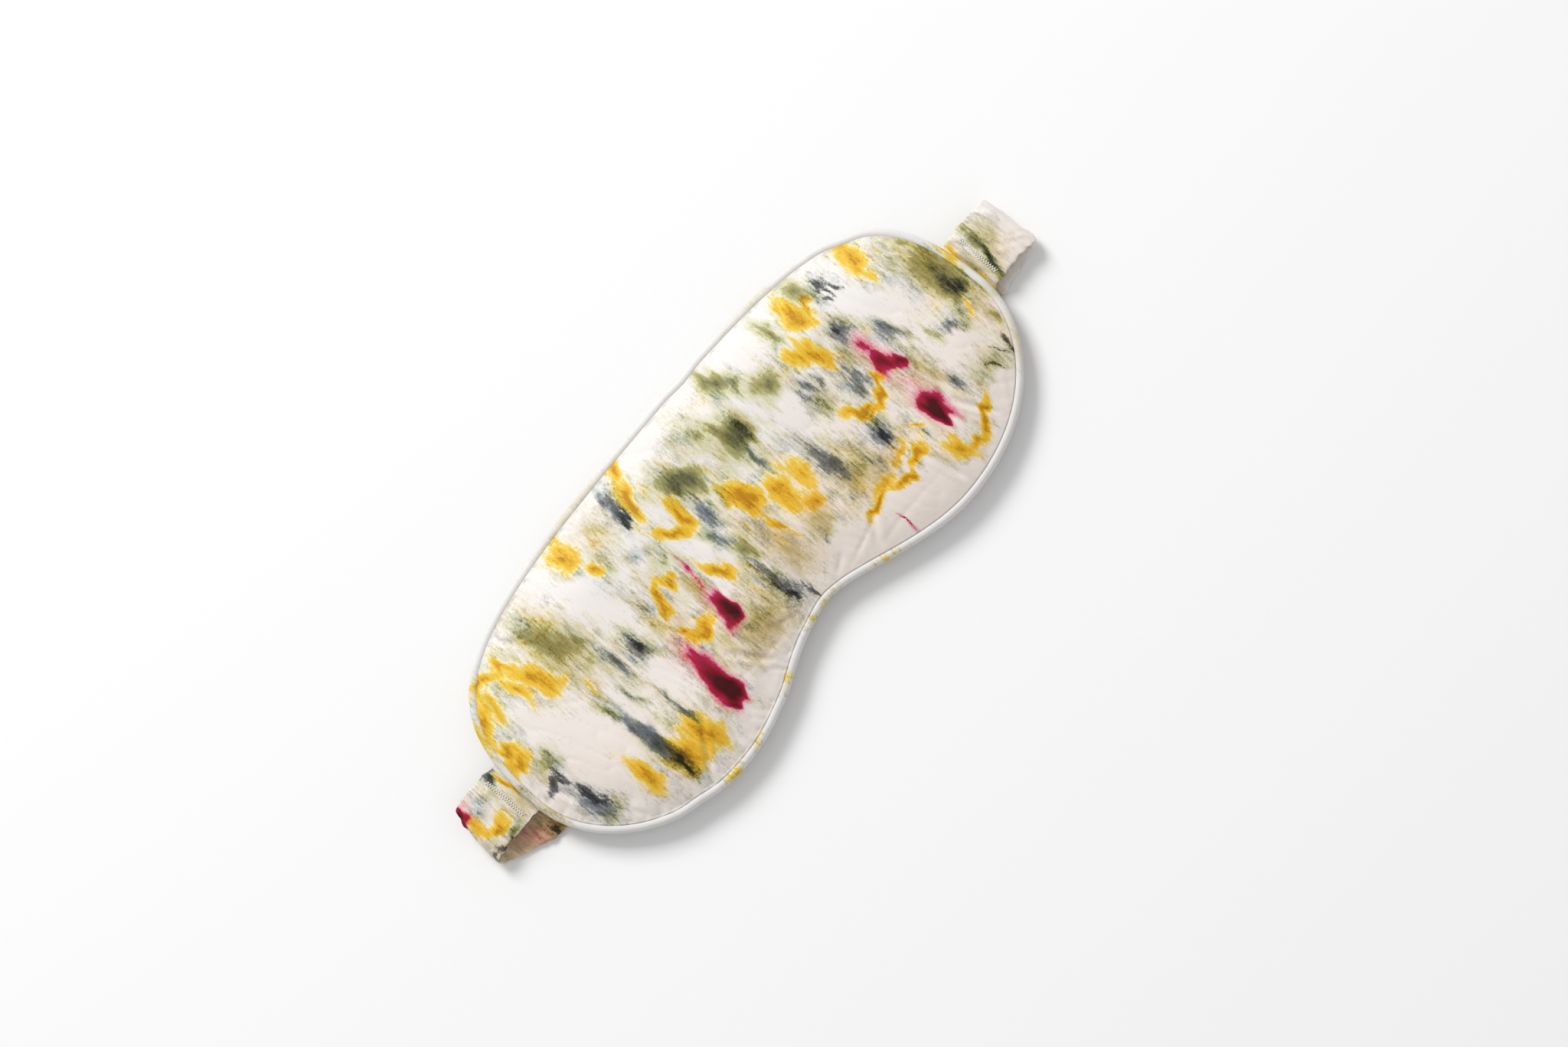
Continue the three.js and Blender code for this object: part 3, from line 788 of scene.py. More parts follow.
def printed_silk():
    """Silk with the dye fields of the piece it is on."""
    material, tree, surface = new_material("dyed_silk")
    place = cloth_place(tree)
    blush = thread_noise(tree, place, (0.028, 0.035, 0.03), 1.0)
    patches = maths(tree, "MULTIPLY", remap(tree, blush, 0.42, 0.62, 0.0, 0.8), 0.3)
    # painted shade: the cloth is mixed more and more towards the darker colour from the brow side, which
    # faces the light, down to the nose side
    down = add_node(tree, "ShaderNodeSeparateXYZ", {0: place}).outputs[1]
    share = maths(tree, "ADD", remap(tree, down, 24.0, -12.0, 0.1, 0.75), patches)
    cloth = mixed(tree, "MIX", share, (*CLOTH, 1), (*BLUSH_AND_SHADE, 1))
    silk_body(tree, surface, place, 0.10, dyed_colour(tree, place, cloth))
    return material


DYED_SILK = printed_silk()
print("dyed silk:", len(DYED_SILK.node_tree.nodes), "nodes")

# %% [markdown]
# ## The front
# The front silk lies over the wadding and shows nearly all of the print. We could inflate it with a cloth
# simulation, but the frame already says how it swells, and the creases that matter are few and known, so
# it is shaped directly: the swell, plus the folds, at every point of the fine panel.

# %% Front silk
def dress(piece, material, slot, body, *nodes):
    """Gives a piece its material, the body that it moves with and the nodes it stands for; slot is not used.
    """
    piece.data.materials.append(material)
    if body:
        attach(piece, body)
    if nodes:
        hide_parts(*nodes)


front_points, front_faces = layered(front_panel, heights, heights - SILK_THICK)
front_silk = make_piece("front_silk", front_points, front_faces)
dye(front_silk, front_points, front_marks, 61)
dress(front_silk, DYED_SILK, "printed_silk", "mask", "front_cover")
print("front silk:", len(front_silk.data.polygons), "faces")

# %% [markdown]
# ## The back
# The back is the same cloth, undyed, and it lies on the face. Its padding is thin, so it is nearly flat,
# with the seam's puckers round its rim. It needs no dye, only a silk whose colour is left alone but for a
# warm cast that wanders.

# %% Back silk
def plain_silk(name, colour, cast, rib_height):
    """Undyed silk: one colour that wanders slowly towards a second."""
    material, tree, surface = new_material(name)
    place = cloth_place(tree)
    wander = thread_noise(tree, place, (0.05, 0.05, 0.05), 3.0)
    share = remap(tree, wander, 0.40, 0.66)
    silk_body(tree, surface, place, rib_height, mixed(tree, "MIX", share, (*colour, 1), (*cast, 1)))
    return material


UNDYED_SILK = plain_silk("undyed_silk", (0.80, 0.78, 0.75), (0.79, 0.75, 0.71), 0.10)
back_heights = back_height(back_panel[0])
back_points, back_faces = layered(back_panel, back_heights + SILK_THICK, back_heights)
back_silk = make_piece("back_silk", back_points, back_faces)
dress(back_silk, UNDYED_SILK, "plain_silk", "mask", "back_cover")
print(f"back silk from {back_heights.min():.2f} to {back_heights.max():.2f} mm")

# %% [markdown]
# ## Sweeping a section round the edge
# The piping and its cord both run the whole way round. Blender can bevel a curve with a profile, but we
# want the surface to ripple and twist along its length, so a small function places a section at every
# point of the outline and joins each to the next. The section is given as how far inside the outline and
# how far above the seam each of its points lies.

# %% Sweep round the edge
def swept_ring(section_at):
    """Points and faces of a section swept round the outline; section_at gets the place in millimetres."""
    places = np.arange(len(outline)) * girth / len(outline)
    sections = np.array([section_at(place) for place in places])
    rows, across = sections.shape[:2]
    flat = outline[:, None] + inward[:, None] * sections[:, :, :1]
    points = np.concatenate([flat, SEAM_LEVEL + sections[:, :, 1:2]], axis=2).reshape(-1, 3)
    row, column = np.divmod(np.arange(rows * across), across)
    right, ahead_row = (column + 1) % across, (row + 1) % rows
    faces = np.column_stack(
        [row * across + column, row * across + right, ahead_row * across + right, ahead_row * across + column]
    )
    return points, faces.tolist()


print("sections are swept anticlockwise, seen from the front")

# %% [markdown]
# ## Piping
# Piping is a strip of silk cut on the bias and folded round a cord. Its bead shows outside the seam; its
# two edges are caught inside, between the covers. The strip is pulled round the curves, so small slanting
# ripples run over the bead. Here and there the dye touched it and left a yellow stain.

# %% Piping cover
PIPING_RADIUS, PIPING_BORE = 1.48, 0.98
PIPING_MIDDLE = 1.5  # how far the bead's centre lies inside the outline
FLANGE_REACH, FLANGE_BEND, FLANGE_OUTER, FLANGE_INNER = 5.5, 4.2, 0.53, 0.16
BEAD_RIPPLE = 0.035  # how much of its radius the bead swells and shrinks
BEAD_STEPS, BORE_STEPS = 30, 18


def piping_section(place):
    """The piping's section: along the upper flange, round the bead and back, then round the bore."""
    open_out, open_in = math.asin(FLANGE_OUTER / PIPING_RADIUS), math.asin(FLANGE_INNER / PIPING_BORE)
    round_out = np.linspace(open_out, 2 * math.pi - open_out, BEAD_STEPS)
    round_in = np.linspace(2 * math.pi - open_in, open_in, BORE_STEPS)
    ripple = hills(np.full(BEAD_STEPS, place / 1.7) + round_out * 0.9, round_out * 0.5 + place / 40, 71)
    ripple += 0.8 * hills(np.full(BEAD_STEPS, place / 4.3) - round_out * 0.6, round_out * 0.3, 72)
    radius = PIPING_RADIUS * (1 + BEAD_RIPPLE * ripple * np.sin(round_out / 2) ** 2)
    bead = np.column_stack([PIPING_MIDDLE + radius * np.cos(round_out), radius * np.sin(round_out)])
    bore = np.column_stack(
        [PIPING_MIDDLE + PIPING_BORE * np.cos(round_in), PIPING_BORE * np.sin(round_in)]
    )
    upper_out, upper_in = (
        [(FLANGE_REACH, level), (FLANGE_BEND, level)] for level in (FLANGE_OUTER, FLANGE_INNER)
    )
    lower_out, lower_in = ([(x, -level) for x, level in flange] for flange in (upper_out, upper_in))
    return np.vstack([upper_out, bead, lower_out[::-1], lower_in, bore, upper_in[::-1]])


PIPING_STAINS = {
    "marigold": [
        (-100, 22, 4.0, 8.5, 0, 0.64), (-92, 33, 5.0, 4.0, 0, 0.55), (-58, -45, 3.5, 3.0, 0, 0.66),
        (-45, -43, 3.0, 3.0, 0, 0.6), (-26, -38, 3.0, 3.0, 0, 0.58), (-3, -34, 6.5, 3.0, 0, 0.58),
        (20, -40, 6.0, 4.0, 0, 0.62), (104, 8, 2.4, 5.0, 0, 0.66),
    ],
    "leaf": [
        (-99, 30, 3.0, 5.0, 0, 0.4), (104, -9, 2.0, 3.0, 0, 0.45),
    ],
    "tea": [
        (60, 45, 14, 3.0, 0, 0.5), (-30, 45, 16, 3, 0, 0.5), (-104, -6, 3, 12, 0, 0.6),
        (98, -26, 6, 8, 0, 0.5),
    ],
}
piping_points, piping_faces = swept_ring(piping_section)
piping = make_piece("piping_silk", piping_points, piping_faces)
dye(piping, piping_points, petals(PIPING_STAINS), 73)


def stained_silk():
    """The white silk of the piping, with the dye that touched it."""
    material, tree, surface = new_material("piping_silk")
    place = cloth_place(tree)
    colour = dyed_colour(tree, place, (*PIPING_CLOTH, 1), 1.2)
    silk_body(tree, surface, place, 0.07, colour)
    return material


dress(piping, stained_silk(), "plain_silk", "mask", "piping_cover")
print("piping:", len(piping_faces), "faces")

# %% [markdown]
# ## The cord in the piping
# Inside the bead runs a cotton cord of three strands. Nobody sees it in a finished mask, but it is what
# keeps the bead round, so it is a piece of its own. Three strands twisted together have a three-leafed
# section that turns as it goes, and that is all the sweep needs.

# %% Piping cord
CORD_RADIUS, STRAND_BULGE, TWIST_LENGTH = 0.60, 0.08, 4.2
STRANDS, CORD_STEPS = 3, 18


def cord_section(place):
    """The cord's section: three leaves, turned by how far round the mask it is."""
    around = np.linspace(0, 2 * math.pi, CORD_STEPS, endpoint=False)
    turns = round(girth / TWIST_LENGTH)
    turned = 2 * math.pi * turns * place / girth / STRANDS
    radius = CORD_RADIUS + STRAND_BULGE * np.cos(STRANDS * (around - turned))
    return np.column_stack([PIPING_MIDDLE + radius * np.cos(around), radius * np.sin(around)])


def fibrous(name, colour, shade, stretch, relief_height, roughness=0.9):
    """Loose matt fibre: two tones in fine noise, with a bump from the same noise."""
    material, tree, surface = new_material(name)
    place = cloth_place(tree)
    fluff = thread_noise(tree, place, stretch, 5.0, 0.65)
    tones = mixed(tree, "MIX", remap(tree, fluff, 0.36, 0.64), (*shade, 1), (*colour, 1))
    tree.links.new(tones, surface.inputs["Base Color"])
    rough = remap(tree, fluff, 0.0, 1.0, roughness - 0.12, roughness)
    tree.links.new(rough, surface.inputs["Roughness"])
    relief(tree, surface, fluff, relief_height, 0.8)
    surface.inputs["Sheen Weight"].default_value = 0.35
    surface.inputs["Sheen Roughness"].default_value = 0.6
    return material


cord_points, cord_faces = swept_ring(cord_section)
piping_cord = make_piece("piping_cord_strands", cord_points, cord_faces)
cotton = fibrous("cotton_cord", (0.84, 0.80, 0.72), (0.70, 0.65, 0.56), (3.0, 3.0, 3.0), 0.08)
dress(piping_cord, cotton, "cotton_cord", "mask", "piping_cord")
print("cord:", len(cord_faces), "faces")

# %% [markdown]
# ## Wadding and blackout cloth
# Between the covers lie a thick layer of wadding, a dense cloth that stops the light, and a thin layer of
# wadding. The wadding follows the inside of the silk over it, hills and all, so it is shaped by the same
# functions, a little lower. The blackout cloth is flat and only a little rumpled.

# %% Wadding and blackout cloth
WADDING_INSET, WADDING_PITCH = 6.2, 1.9
FLUFF_HEIGHT, RUMPLE_HEIGHT = 0.10, 0.05
WADDING_GAP, BACK_GAP = 0.55, 0.3  # what lies free between the wadding and the silk over it
LEAST_WADDING = 0.4
RUMPLE = 0.06  # how much of the blackout cloth's room is left for its rumples
inner_panel = panel(WADDING_PITCH, WADDING_INSET, 3)
inner_xy = inner_panel[0]
front_low, front_high = frame_box("front_batting")[0][2], frame_box("front_batting")[1][2]
fluff = FLUFF_HEIGHT * hills(inner_xy[:, 0] / 2.4, inner_xy[:, 1] / 2.4, 81)
over = np.minimum(front_height(inner_xy) - SILK_THICK - WADDING_GAP, front_high + 0.1) + fluff
front_wadding = make_piece(
    "front_wadding",
    *layered(inner_panel, np.maximum(over, front_low + LEAST_WADDING), front_low + 0 * over),
)
wadding = fibrous("wadding", (0.86, 0.86, 0.84), (0.72, 0.72, 0.70), (0.9, 0.9, 0.9), 0.5, 0.97)
dress(front_wadding, wadding, "wadding", "mask", "front_batting")

back_low, back_high = frame_box("back_batting")[0][2], frame_box("back_batting")[1][2]
under = np.maximum(back_height(inner_xy) + SILK_THICK + BACK_GAP, back_low) - 0.5 * fluff
back_wadding = make_piece(
    "back_wadding",
    *layered(inner_panel, back_high + 0 * under, np.minimum(under, back_high - LEAST_WADDING)),
)
dress(back_wadding, wadding, "wadding", "mask", "back_batting")

dark_low, dark_high = frame_box("blackout_layer")[0][2], frame_box("blackout_layer")[1][2]
rumple = RUMPLE_HEIGHT * hills(inner_xy[:, 0] / 13, inner_xy[:, 1] / 9, 82)
blackout = make_piece(
    "blackout_cloth",
    *layered(inner_panel, dark_high - RUMPLE + rumple, dark_low + RUMPLE + rumple),
)
dense = fibrous("blackout_weave", (0.035, 0.035, 0.04), (0.015, 0.015, 0.018), (2.4, 2.4, 2.4), 0.08, 0.85)
dress(blackout, dense, "blackout_cloth", "mask", "blackout_layer")
print("wadding and blackout cloth:", len(inner_xy), "points a layer")

# %% [markdown]
# ## The strap's path
# The strap leaves the seam at each end of the mask, runs out a little way, turns sharply back under
# itself and passes behind the mask to the other side. We make one side at a time, as a path that starts
# in the seam, and mirror it. The path is in the plane of x and z; how far the strap lies towards the brow
# is added after.

# %% Strap path
fold_low, fold_high = frame_box("right_run_casing")
tab_low, tab_high = frame_box("right_tab_casing")
STRAP_THICK = tab_high[2] - tab_low[2]
STRAP_WIDTH = tab_high[1] - tab_low[1]
TAB_LEVEL_Z = (tab_low[2] + tab_high[2]) / 2
RUN_LEVEL_Z = fold_low[2] + STRAP_THICK / 2
BEND_RADIUS = (TAB_LEVEL_Z - RUN_LEVEL_Z) / 2
BEND_START_X = fold_high[0] - STRAP_THICK / 2 - BEND_RADIUS
SEAM_X, SEAM_Z = 102.4, 4.45  # where the strap is caught between the piping and the back
PINCH_DROP, PINCH_LENGTH = 0.4, 1.3  # it dips a little as it leaves the seam
DIVE_X, DIVE_LENGTH = 104.4, 5.0  # then it slopes to the level of its part beside the mask
MIDDLE_X = 0.25  # the two halves stop this far from the middle, so they never touch
PATH_STEP, FINE_STEP, BEND_STEPS = 0.5, 0.1, 76


def strap_path():
    """Places along the strap: distance, x, z, and the direction in which its outer face looks."""
    out_x = np.arange(SEAM_X, BEND_START_X, FINE_STEP)
    dive = ease((out_x - DIVE_X) / DIVE_LENGTH)
    pinch = PINCH_DROP * ease((out_x - SEAM_X) / PINCH_LENGTH)
    out_z = SEAM_Z - pinch * (1 - dive) + (TAB_LEVEL_Z - SEAM_Z) * dive
    turn = np.linspace(math.pi / 2, -math.pi / 2, BEND_STEPS)
    bend_x = BEND_START_X + BEND_RADIUS * np.cos(turn)
    bend_z = (TAB_LEVEL_Z + RUN_LEVEL_Z) / 2 + BEND_RADIUS * np.sin(turn)
    back_x = np.append(np.arange(BEND_START_X - FINE_STEP, MIDDLE_X, -FINE_STEP), MIDDLE_X)
    back_z = np.full(len(back_x), RUN_LEVEL_Z)
    stretches = ((out_x, out_z), (bend_x, bend_z), (back_x, back_z))
    line = np.vstack([np.column_stack(stretch) for stretch in stretches])
    walked = np.concatenate([[0], np.linalg.norm(np.diff(line, axis=0), axis=1).cumsum()])
    places = np.linspace(0, walked[-1], int(round(walked[-1] / PATH_STEP)) + 1)
    x, z = np.interp(places, walked, line[:, 0]), np.interp(places, walked, line[:, 1])
    heading = np.column_stack([np.gradient(x, places), np.gradient(z, places)])
    heading /= np.linalg.norm(heading, axis=1)[:, None]
    return places, x, z, np.column_stack([-heading[:, 1], heading[:, 0]])


strap_places, strap_x, strap_z, strap_out = strap_path()
bend_place = strap_places[np.argmax(strap_x)]
TAB_SPLIT = 12.0  # about how far from the seam the two pieces of a side meet
split_place = strap_places[np.argmin(np.abs(strap_places - TAB_SPLIT))]
print(f"each half of the strap is {strap_places[-1]:.0f} mm long and turns at {bend_place:.0f} mm")

# %% [markdown]
# ## The gathered casing
# The casing is a silk tube, cut much longer than the elastic inside it, so it gathers when the elastic
# pulls in. Its gathers cross the strap, lean a little, run into one another and make the edges wavy. The
# tube is pinched flat where it goes into the seam, and creased where it turns back.

# %% Casing shape
AROUND = 84  # points round the strap's section
TAB_Y = (tab_low[1] + tab_high[1]) / 2
RUN_Y = fold_low[1] + STRAP_WIDTH / 2
CASING_WALL = 0.25
SWING_LENGTH, RETURN_LENGTH = 26, 40  # how long it takes to swing askew, and then to come straight again
PRESSED_PLACE, PRESSED_LEAN = 16.8, 0.08  # a line pressed across the strap just before its fold
PRESSED_DEPTH, TACK_DEPTH = 0.45, 0.55
TACK_X = 109.3  # where the bar tack pulls the strap in
TACK_PLACE = strap_places[np.argmin(np.abs(strap_x[: len(strap_x) // 8] - TACK_X))]
SEAM_HALF_THICK = 0.26  # the tube is pinched this thin in the seam
GATHER_ROOM, GATHER_DEPTH = 0.14, 0.74
EDGE_WAVE, EDGE_RIPPLE = 0.55, 0.35  # how far the strap's edges stray, in slow and in quick waves
UNDERSIDE = 57  # a shift in the pattern, so the two faces don't gather alike


def strap_side_shift(place, tab_y, skew_y):
    """How far the strap's middle lies towards the brow: it comes out straight and runs back askew."""
    after = place - bend_place
    passing = tab_y + (skew_y - tab_y) * ease((after + 5) / SWING_LENGTH)
    return passing + (RUN_Y - passing) * ease((after - SWING_LENGTH) / RETURN_LENGTH)


def casing_ring(place, seed, shrink=0.0):
    """One ring of the casing: distance outward from the path, place across it, and place round it."""
    around = np.linspace(0, 2 * math.pi, AROUND, endpoint=False)
    reach, rise = np.cos(around), np.sin(around)
    full = STRAP_THICK / 2 - GATHER_ROOM
    thin = SEAM_HALF_THICK + (full - SEAM_HALF_THICK) * ease((place - 0.8) / 5.5)
    half_wide = STRAP_WIDTH / 2 - 0.2 + EDGE_WAVE * hills(place / 2.6 + (reach > 0) * 31, 0.5, seed)
    half_wide += EDGE_RIPPLE * hills(place / 1.1 + (reach > 0) * 17, 0.5, seed + 6)
    across = half_wide * np.sign(reach) * np.abs(reach) ** 0.55
    height = thin * np.sign(rise) * np.abs(rise) ** 0.6
    loose = ease((place - 1.0) / 6)
    lean = across / 11 + 0.5 * hills(across / 7, place / 20, seed + 1)
    side = np.where(rise >= 0, 0, UNDERSIDE)
    gather = folds(place / 1.75 + lean + side, across / 8 + side, seed + 2) ** 2
    gather += 0.7 * folds(place / 3.9 + 1.7 * lean + side, across / 12 + side, seed + 3) ** 3
    gather += 0.3 * hills(place / 0.9 + side, across / 3 + side, seed + 4)
    depth = GATHER_DEPTH * loose * np.abs(rise) ** 0.5
    off_tack = (place - TACK_PLACE) / 0.9
    off_press = (place + across * PRESSED_LEAN - PRESSED_PLACE) / 0.6
    groove = TACK_DEPTH * np.exp(-(off_tack**2)) * np.abs(rise) ** 0.3
    groove += PRESSED_DEPTH * np.exp(-(off_press**2)) * (rise > 0)
    outward = height - np.sign(rise) * (depth * (1.1 - gather) + groove) * (1 - 0.6 * shrink)
    sideways = across - np.sign(reach) * shrink * CASING_WALL
    return outward - np.sign(rise) * shrink * CASING_WALL * 0.9, sideways, around


TABLE_GAP = 0.03  # where the strap lies on the table it is pressed flat, just clear of it
FOLD_REACH = 9  # how far from the fold its slant is felt
CLOTH_GAP = 20  # how far apart the casing's two faces lie on the flat cloth, so they aren't dyed alike


def tube_faces(rows, across, turned):
    """The faces of an open tube with an outer and an inner wall, closed at its two ends."""
    row, column = np.divmod(np.arange((rows - 1) * across), across)
    here, right = row * across + column, row * across + (column + 1) % across
    wall = np.column_stack([here, right, right + across, here + across])
    inner = wall[:, ::-1] + rows * across
    rim = np.arange(across)
    beside = (rim + 1) % across
    start = np.column_stack([rim, rim + rows * across, beside + rows * across, beside])
    end = start[:, ::-1] + (rows - 1) * across
    faces = np.vstack([wall, inner, start, end])
    return (faces[:, ::-1] if turned else faces).tolist()


def strap_tube(side, seed, first, last, ring, lie):
    """Points, faces and cloth places of a closed tube wall along the path, from place first to last."""
    chosen = np.flatnonzero((strap_places >= first - 1e-6) & (strap_places <= last + 1e-6))
    layers = []
    for shrink in (0.0, 1.0):
        for i in chosen:
            outward, sideways, around = ring(strap_places[i], seed, shrink)
            shift = strap_side_shift(strap_places[i], *lie[:2])
            at_fold = math.exp(-(((strap_places[i] - bend_place) / FOLD_REACH) ** 2))
            x = strap_x[i] + strap_out[i, 0] * outward - lie[2] * sideways * at_fold
            z = strap_z[i] + strap_out[i, 1] * outward
            cloth = [np.full(len(x), strap_places[i]), sideways, np.sign(np.sin(around)) * CLOTH_GAP]
            layers.append((np.column_stack([side * x, shift + sideways, z]), np.column_stack(cloth)))
    points, cloth = (np.concatenate([layer[k] for layer in layers]) for k in (0, 1))
    points[:, 2] = np.maximum(points[:, 2], TABLE_GAP)
    return points, tube_faces(len(chosen), AROUND, side > 0), cloth


print(f"the strap is {STRAP_WIDTH:.1f} mm wide and {STRAP_THICK:.1f} mm thick")

# %% [markdown]
# ## Casing pieces
# Each side is two pieces that meet half way along the part that shows. Both the casing and the elastic are
# made this way, so the pieces and the nodes that they replace come from one function.

# %% Casings
# the casing's marks, by side and by dye: as on the front, with x along the strap and y across it
CASING_MARKS = {
    "left": {
        "marigold": [
            (19.5, 1.0, 2.0, 5.2, 14, 0.72), (15.0, -3.4, 4.6, 2.0, 22, 1.0), (3.9, 2.4, 0.9, 4.4, 0, 1.1),
            (46, -8.5, 2.4, 3.0, 0, 0.85),
        ],
        "crimson": [
            (21.2, 7.4, 3.0, 5.0, -14, 0.72, 0.0, 1.8), (17.8, 8.6, 3.4, 2.8, 0, 0.44),
            (37, -5, 11, 7, 0, 0.42),
        ],
        "leaf": [
            (13, -8.6, 3.0, 1.2, 0, 0.9), (9.0, 3.0, 2.2, 3.0, 0, 0.52), (44, -6.5, 1.6, 2.4, 0, 0.9),
        ],
        "slate": [
            (13.4, 4.2, 2.4, 1.8, 30, 0.66), (16.4, 5.0, 1.6, 1.6, 0, 0.6), (6.4, 7.4, 1.8, 2.8, 0, 0.95),
            (4.0, 9.2, 1.8, 1.6, 0, 0.9),
        ],
        "ink": [
            (5.6, 5.6, 0.9, 2.4, 14, 0.7), (17.0, -9.2, 2.8, 1.3, 12, 0.95),
            (21.6, -10.2, 1.8, 1.0, 20, 0.9), (42, -8.6, 0.7, 1.6, 0, 1.0),
        ],
        "tea": [
            (4.5, -5.0, 3.4, 4.0, 0, 0.56), (38, -6, 12, 8, 0, 0.92),
        ],
    },
    "right": {
        "marigold": [
            (3.0, -1.0, 0.75, 9.5, 0, 0.95), (45, -8.8, 1.6, 1.6, 0, 0.8),
        ],
        "leaf": [
            (9.6, -0.8, 1.5, 7.6, -12, 1.0), (11.4, 6.4, 1.8, 3.0, 10, 0.72), (14.5, 4.6, 3.2, 3.4, 0, 0.5),
            (6.6, -7.0, 0.6, 2.2, 0, 0.8),
        ],
        "slate": [
            (9.2, -3.0, 0.9, 6.0, -10, 0.95),
        ],
        "ink": [
            (8.6, -4.0, 0.5, 3.6, -8, 0.7),
        ],
        "tea": [
            (4.4, -3, 1.2, 7.0, 0, 0.6), (13.0, 1.0, 4.4, 7.0, 0, 0.52), (45.5, -8.6, 2.4, 2.4, 0, 1.0),
        ],
    },
}
HIDDEN_FROM, MARK_STEP = 52, 5.2  # where the strap goes behind the mask, and a mark every so far from there
DYE_SHARES = (0.28, 0.1, 0.24, 0.16, 0.08, 0.14)  # how often each dye was used there


def run_marks(seed):
    """A scatter of marks for the part of the strap that lies behind the mask."""
    pick = np.random.default_rng(seed)
    marks = []
    for place in np.arange(HIDDEN_FROM, strap_places[-1], MARK_STEP):
        dye_name = DYES[pick.choice(len(DYES), p=DYE_SHARES)]
        half_width = pick.uniform(1.6, 4.4)
        aside = pick.uniform(-9, 9)
        half_length = half_width * pick.uniform(0.8, 1.9)
        lean, strength, taper = pick.uniform(-30, 30), pick.uniform(0.7, 1.1), pick.uniform(-0.2, 0.3)
        marks.append(petal(dye_name, place, aside, half_width, half_length, lean, strength, taper))
    return marks


def bend_with_strap(tab_piece, run_piece, side_name, side):
    """Bakes the placement of a side's two pieces into their meshes."""
    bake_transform(tab_piece)
    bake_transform(run_piece)


FRAME_WORDS = {"silk": "casing", "web": "elastic"}  # what the frame calls the nodes of each kind


def strap_side(kind, side_name, side, seed, lie, ring, start):
    """Both pieces of one side of the casing or the elastic, in place of their nodes."""
    pieces, cloths = [], []
    for part, first, last in (("tab", start, split_place), ("run", split_place, strap_places[-1])):
        points, faces, cloth = strap_tube(side, seed, first, last, ring, lie)
        piece = make_piece(f"{side_name}_{part}_{kind}", points, faces, cloth)
        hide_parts(f"{side_name}_{part}_{FRAME_WORDS[kind]}")
        pieces.append(piece)
        cloths.append(cloth)
    bend_with_strap(*pieces, side_name, side)
    return pieces, cloths


# each side's name, sign and seed, and how it lies: its middle as it leaves the seam, its middle as it runs
# back, and how much its fold slants
SIDES = (
    ("left", -1, 91, (TAB_Y + 1.2, RUN_Y - 3.4, 0.15)),
    ("right", 1, 191, (TAB_Y - 1.9, RUN_Y, 0.03)),
)
casings = {}
for side_name, side, seed, lie in SIDES:
    casings[side_name], cloths = strap_side("silk", side_name, side, seed, lie, casing_ring, 0.0)
    marks = petals(CASING_MARKS[side_name]) + run_marks(seed)
    for piece, cloth in zip(casings[side_name], cloths):
        dye(piece, cloth, marks, seed + 5)
        dress(piece, DYED_SILK, "printed_silk", None)
    print(side_name, "casing:", sum(len(piece.data.polygons) for piece in casings[side_name]), "faces")

# %% [markdown]
# ## The elastic
# Woven elastic is a flat web of rubber cords bound by fine yarn. The rubbers show as ribs along the strap
# and the yarn as a fine crossing. It is hidden in the casing, but it is the part that does the work. It
# uses the same path.

# %% Elastic
ELASTIC_HALF_WIDTH = (frame_box("right_tab_elastic")[1][1] - frame_box("right_tab_elastic")[0][1]) / 2
ELASTIC_HALF_THICK, RIB_COUNT, RIB_DEPTH = 0.38, 11, 0.09
YARN_PITCH, YARN_DEPTH = 1.0, 0.02
ELASTIC_START = 5.4


def elastic_ring(place, _seed, shrink=0.0):
    """One ring of the web, made like casing_ring; shrunk, it is a thin line inside, so the web is solid."""
    around = np.linspace(0, 2 * math.pi, AROUND, endpoint=False)
    reach, rise = np.cos(around), np.sin(around)
    across = ELASTIC_HALF_WIDTH * np.sign(reach) * np.abs(reach) ** 0.6
    ribs = RIB_DEPTH * np.cos(across / ELASTIC_HALF_WIDTH * math.pi * RIB_COUNT)
    ribs += YARN_DEPTH * math.cos(place * 2 * math.pi / YARN_PITCH)
    height = np.sign(rise) * (ELASTIC_HALF_THICK + ribs - RIB_DEPTH) * np.abs(rise) ** 0.4
    return height * (1 - 0.85 * shrink), across * (1 - 0.1 * shrink), around


web = fibrous("elastic_web", (0.86, 0.84, 0.80), (0.66, 0.64, 0.60), (1.2, 5.0, 3.0), 0.10, 0.8)
for side_name, side, seed, lie in SIDES:
    webs, _ = strap_side("web", side_name, side, seed, lie, elastic_ring, ELASTIC_START)
    for piece in webs:
        dress(piece, web, "elastic_web", None)
print("elastic from", ELASTIC_START, "mm")

# %% [markdown]
# ## Bar tacks
# A bar tack is a short, dense row of zigzag stitches that takes the pull of the strap. It is one thread
# going back and forth over a few straight ones. We build the thread as a thin tube along the zigzag: it
# stands up where it crosses the bar and dips into the silk at each end of a stitch.

# %% Bar tacks
THREAD_RADIUS, STITCH_PITCH = 0.11, 0.42
THREAD_SIDES, STITCH_STEPS = 8, 8
TACK_SINK = 0.85  # how far below the frame's box the thread is sunk, down to the gathers
STITCH_ARCH = 0.22  # how far a stitch stands up over the bar
STITCH_SHARE = 0.96  # how much of the frame's box the zigzag fills


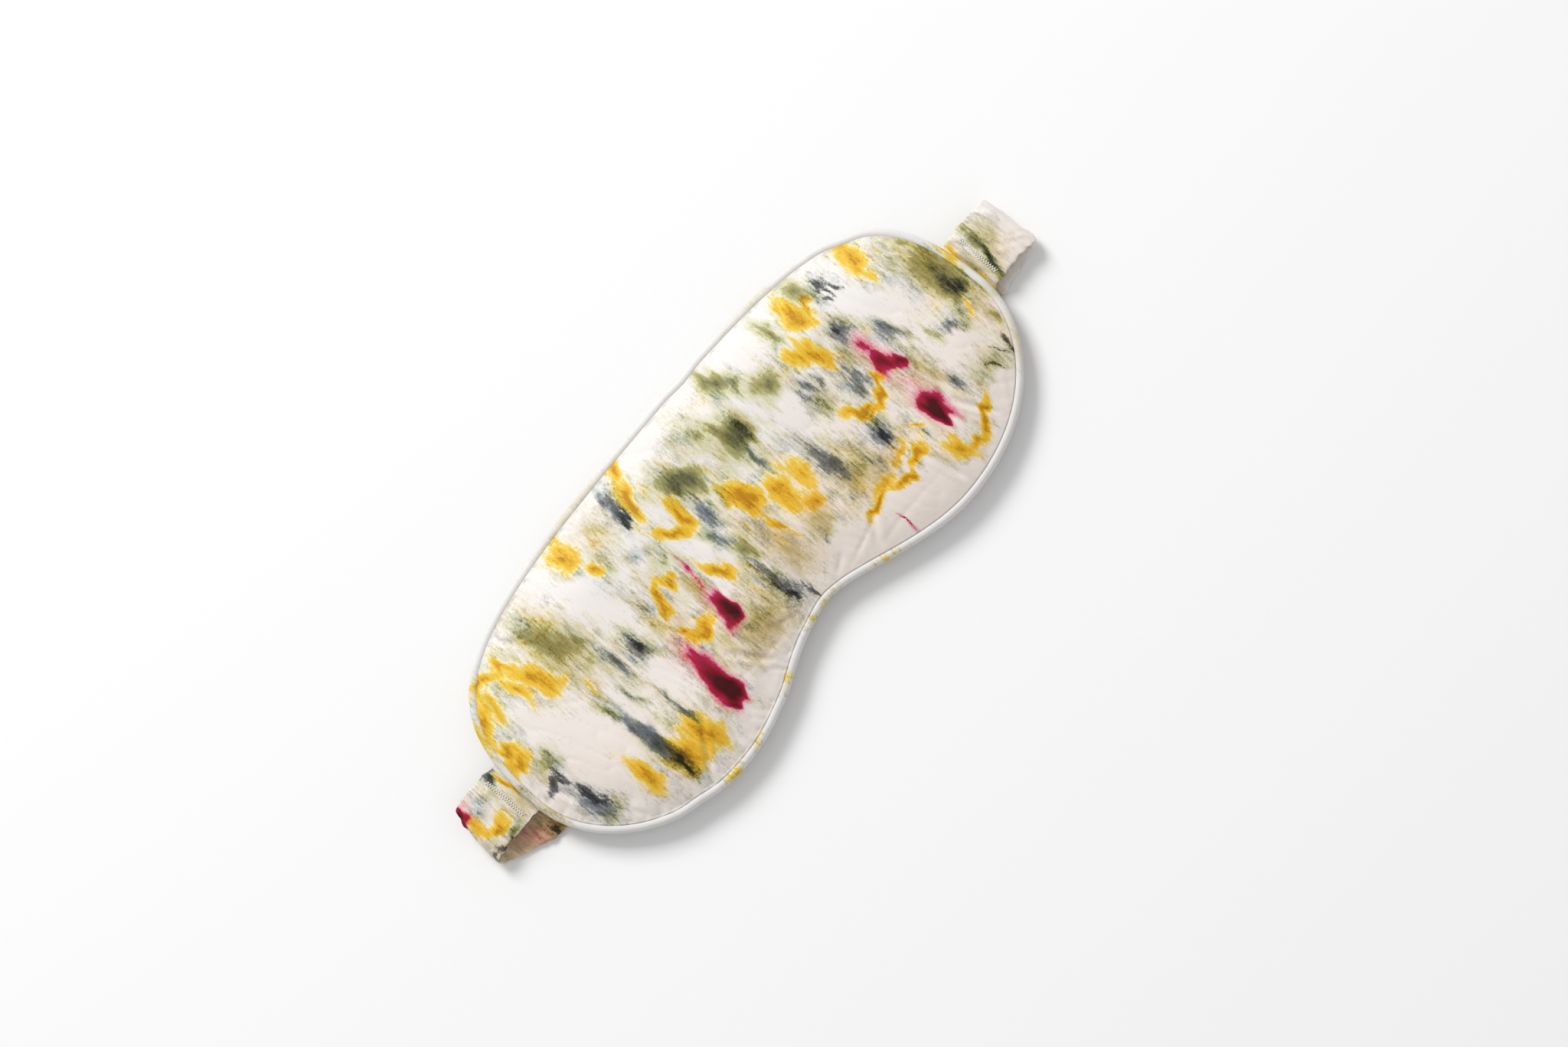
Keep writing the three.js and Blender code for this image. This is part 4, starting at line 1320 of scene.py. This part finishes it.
def thread_tube(line):
    """Points and faces of a closed round thread along a line of points."""
    heading = np.gradient(line, axis=0)
    heading /= np.linalg.norm(heading, axis=1)[:, None]
    side_way = np.cross(heading, (0, 0, 1))
    side_way /= np.linalg.norm(side_way, axis=1)[:, None]
    up_way = np.cross(side_way, heading)
    turn = np.linspace(0, 2 * math.pi, THREAD_SIDES, endpoint=False)[:, None, None]
    round_it = THREAD_RADIUS * (np.cos(turn) * side_way + np.sin(turn) * up_way)
    points = (line + round_it).transpose(1, 0, 2).reshape(-1, 3)
    row, column = np.divmod(np.arange((len(line) - 1) * THREAD_SIDES), THREAD_SIDES)
    here, right = row * THREAD_SIDES + column, row * THREAD_SIDES + (column + 1) % THREAD_SIDES
    wall = np.column_stack([here, right, right + THREAD_SIDES, here + THREAD_SIDES])
    start = list(range(THREAD_SIDES))
    end = [len(points) - 1 - k for k in start]
    return points, [*wall[:, ::-1].tolist(), start[::-1], end[::-1]]


def bar_tack_line(side_name, shift):
    """The thread's line, from the frame's box for the tack: over the bar and down at each side."""
    low, high = frame_box(f"{side_name}_bartack")
    stitches = int((high[1] - low[1]) / STITCH_PITCH)
    steps = np.linspace(0, stitches, stitches * STITCH_STEPS + 1)
    sway = np.abs((steps % 2) - 1) * 2 - 1
    x = (low[0] + high[0]) / 2 + sway * (high[0] - low[0]) / 2 * STITCH_SHARE
    y = shift + low[1] + (high[1] - low[1]) * steps / stitches
    z = low[2] - TACK_SINK + STITCH_ARCH * np.sqrt(np.clip(1 - sway**2, 0, 1))
    return np.column_stack([x, y, z])


thread = fibrous("sewing_thread", (0.88, 0.86, 0.80), (0.74, 0.71, 0.64), (6.0, 6.0, 6.0), 0.05, 0.6)
for side_name, _, _, lie in SIDES:
    tack_points, tack_faces = thread_tube(bar_tack_line(side_name, lie[0] - TAB_Y))
    tack = make_piece(f"{side_name}_bar_tack", tack_points, tack_faces)
    dress(tack, thread, "sewing_thread", f"{side_name}_strap_tab", f"{side_name}_bartack")
print("bar tacks:", len(tack_faces), "faces each")

# %% [markdown]
# ## The end
# All the pieces are now built.


print("all pieces built")
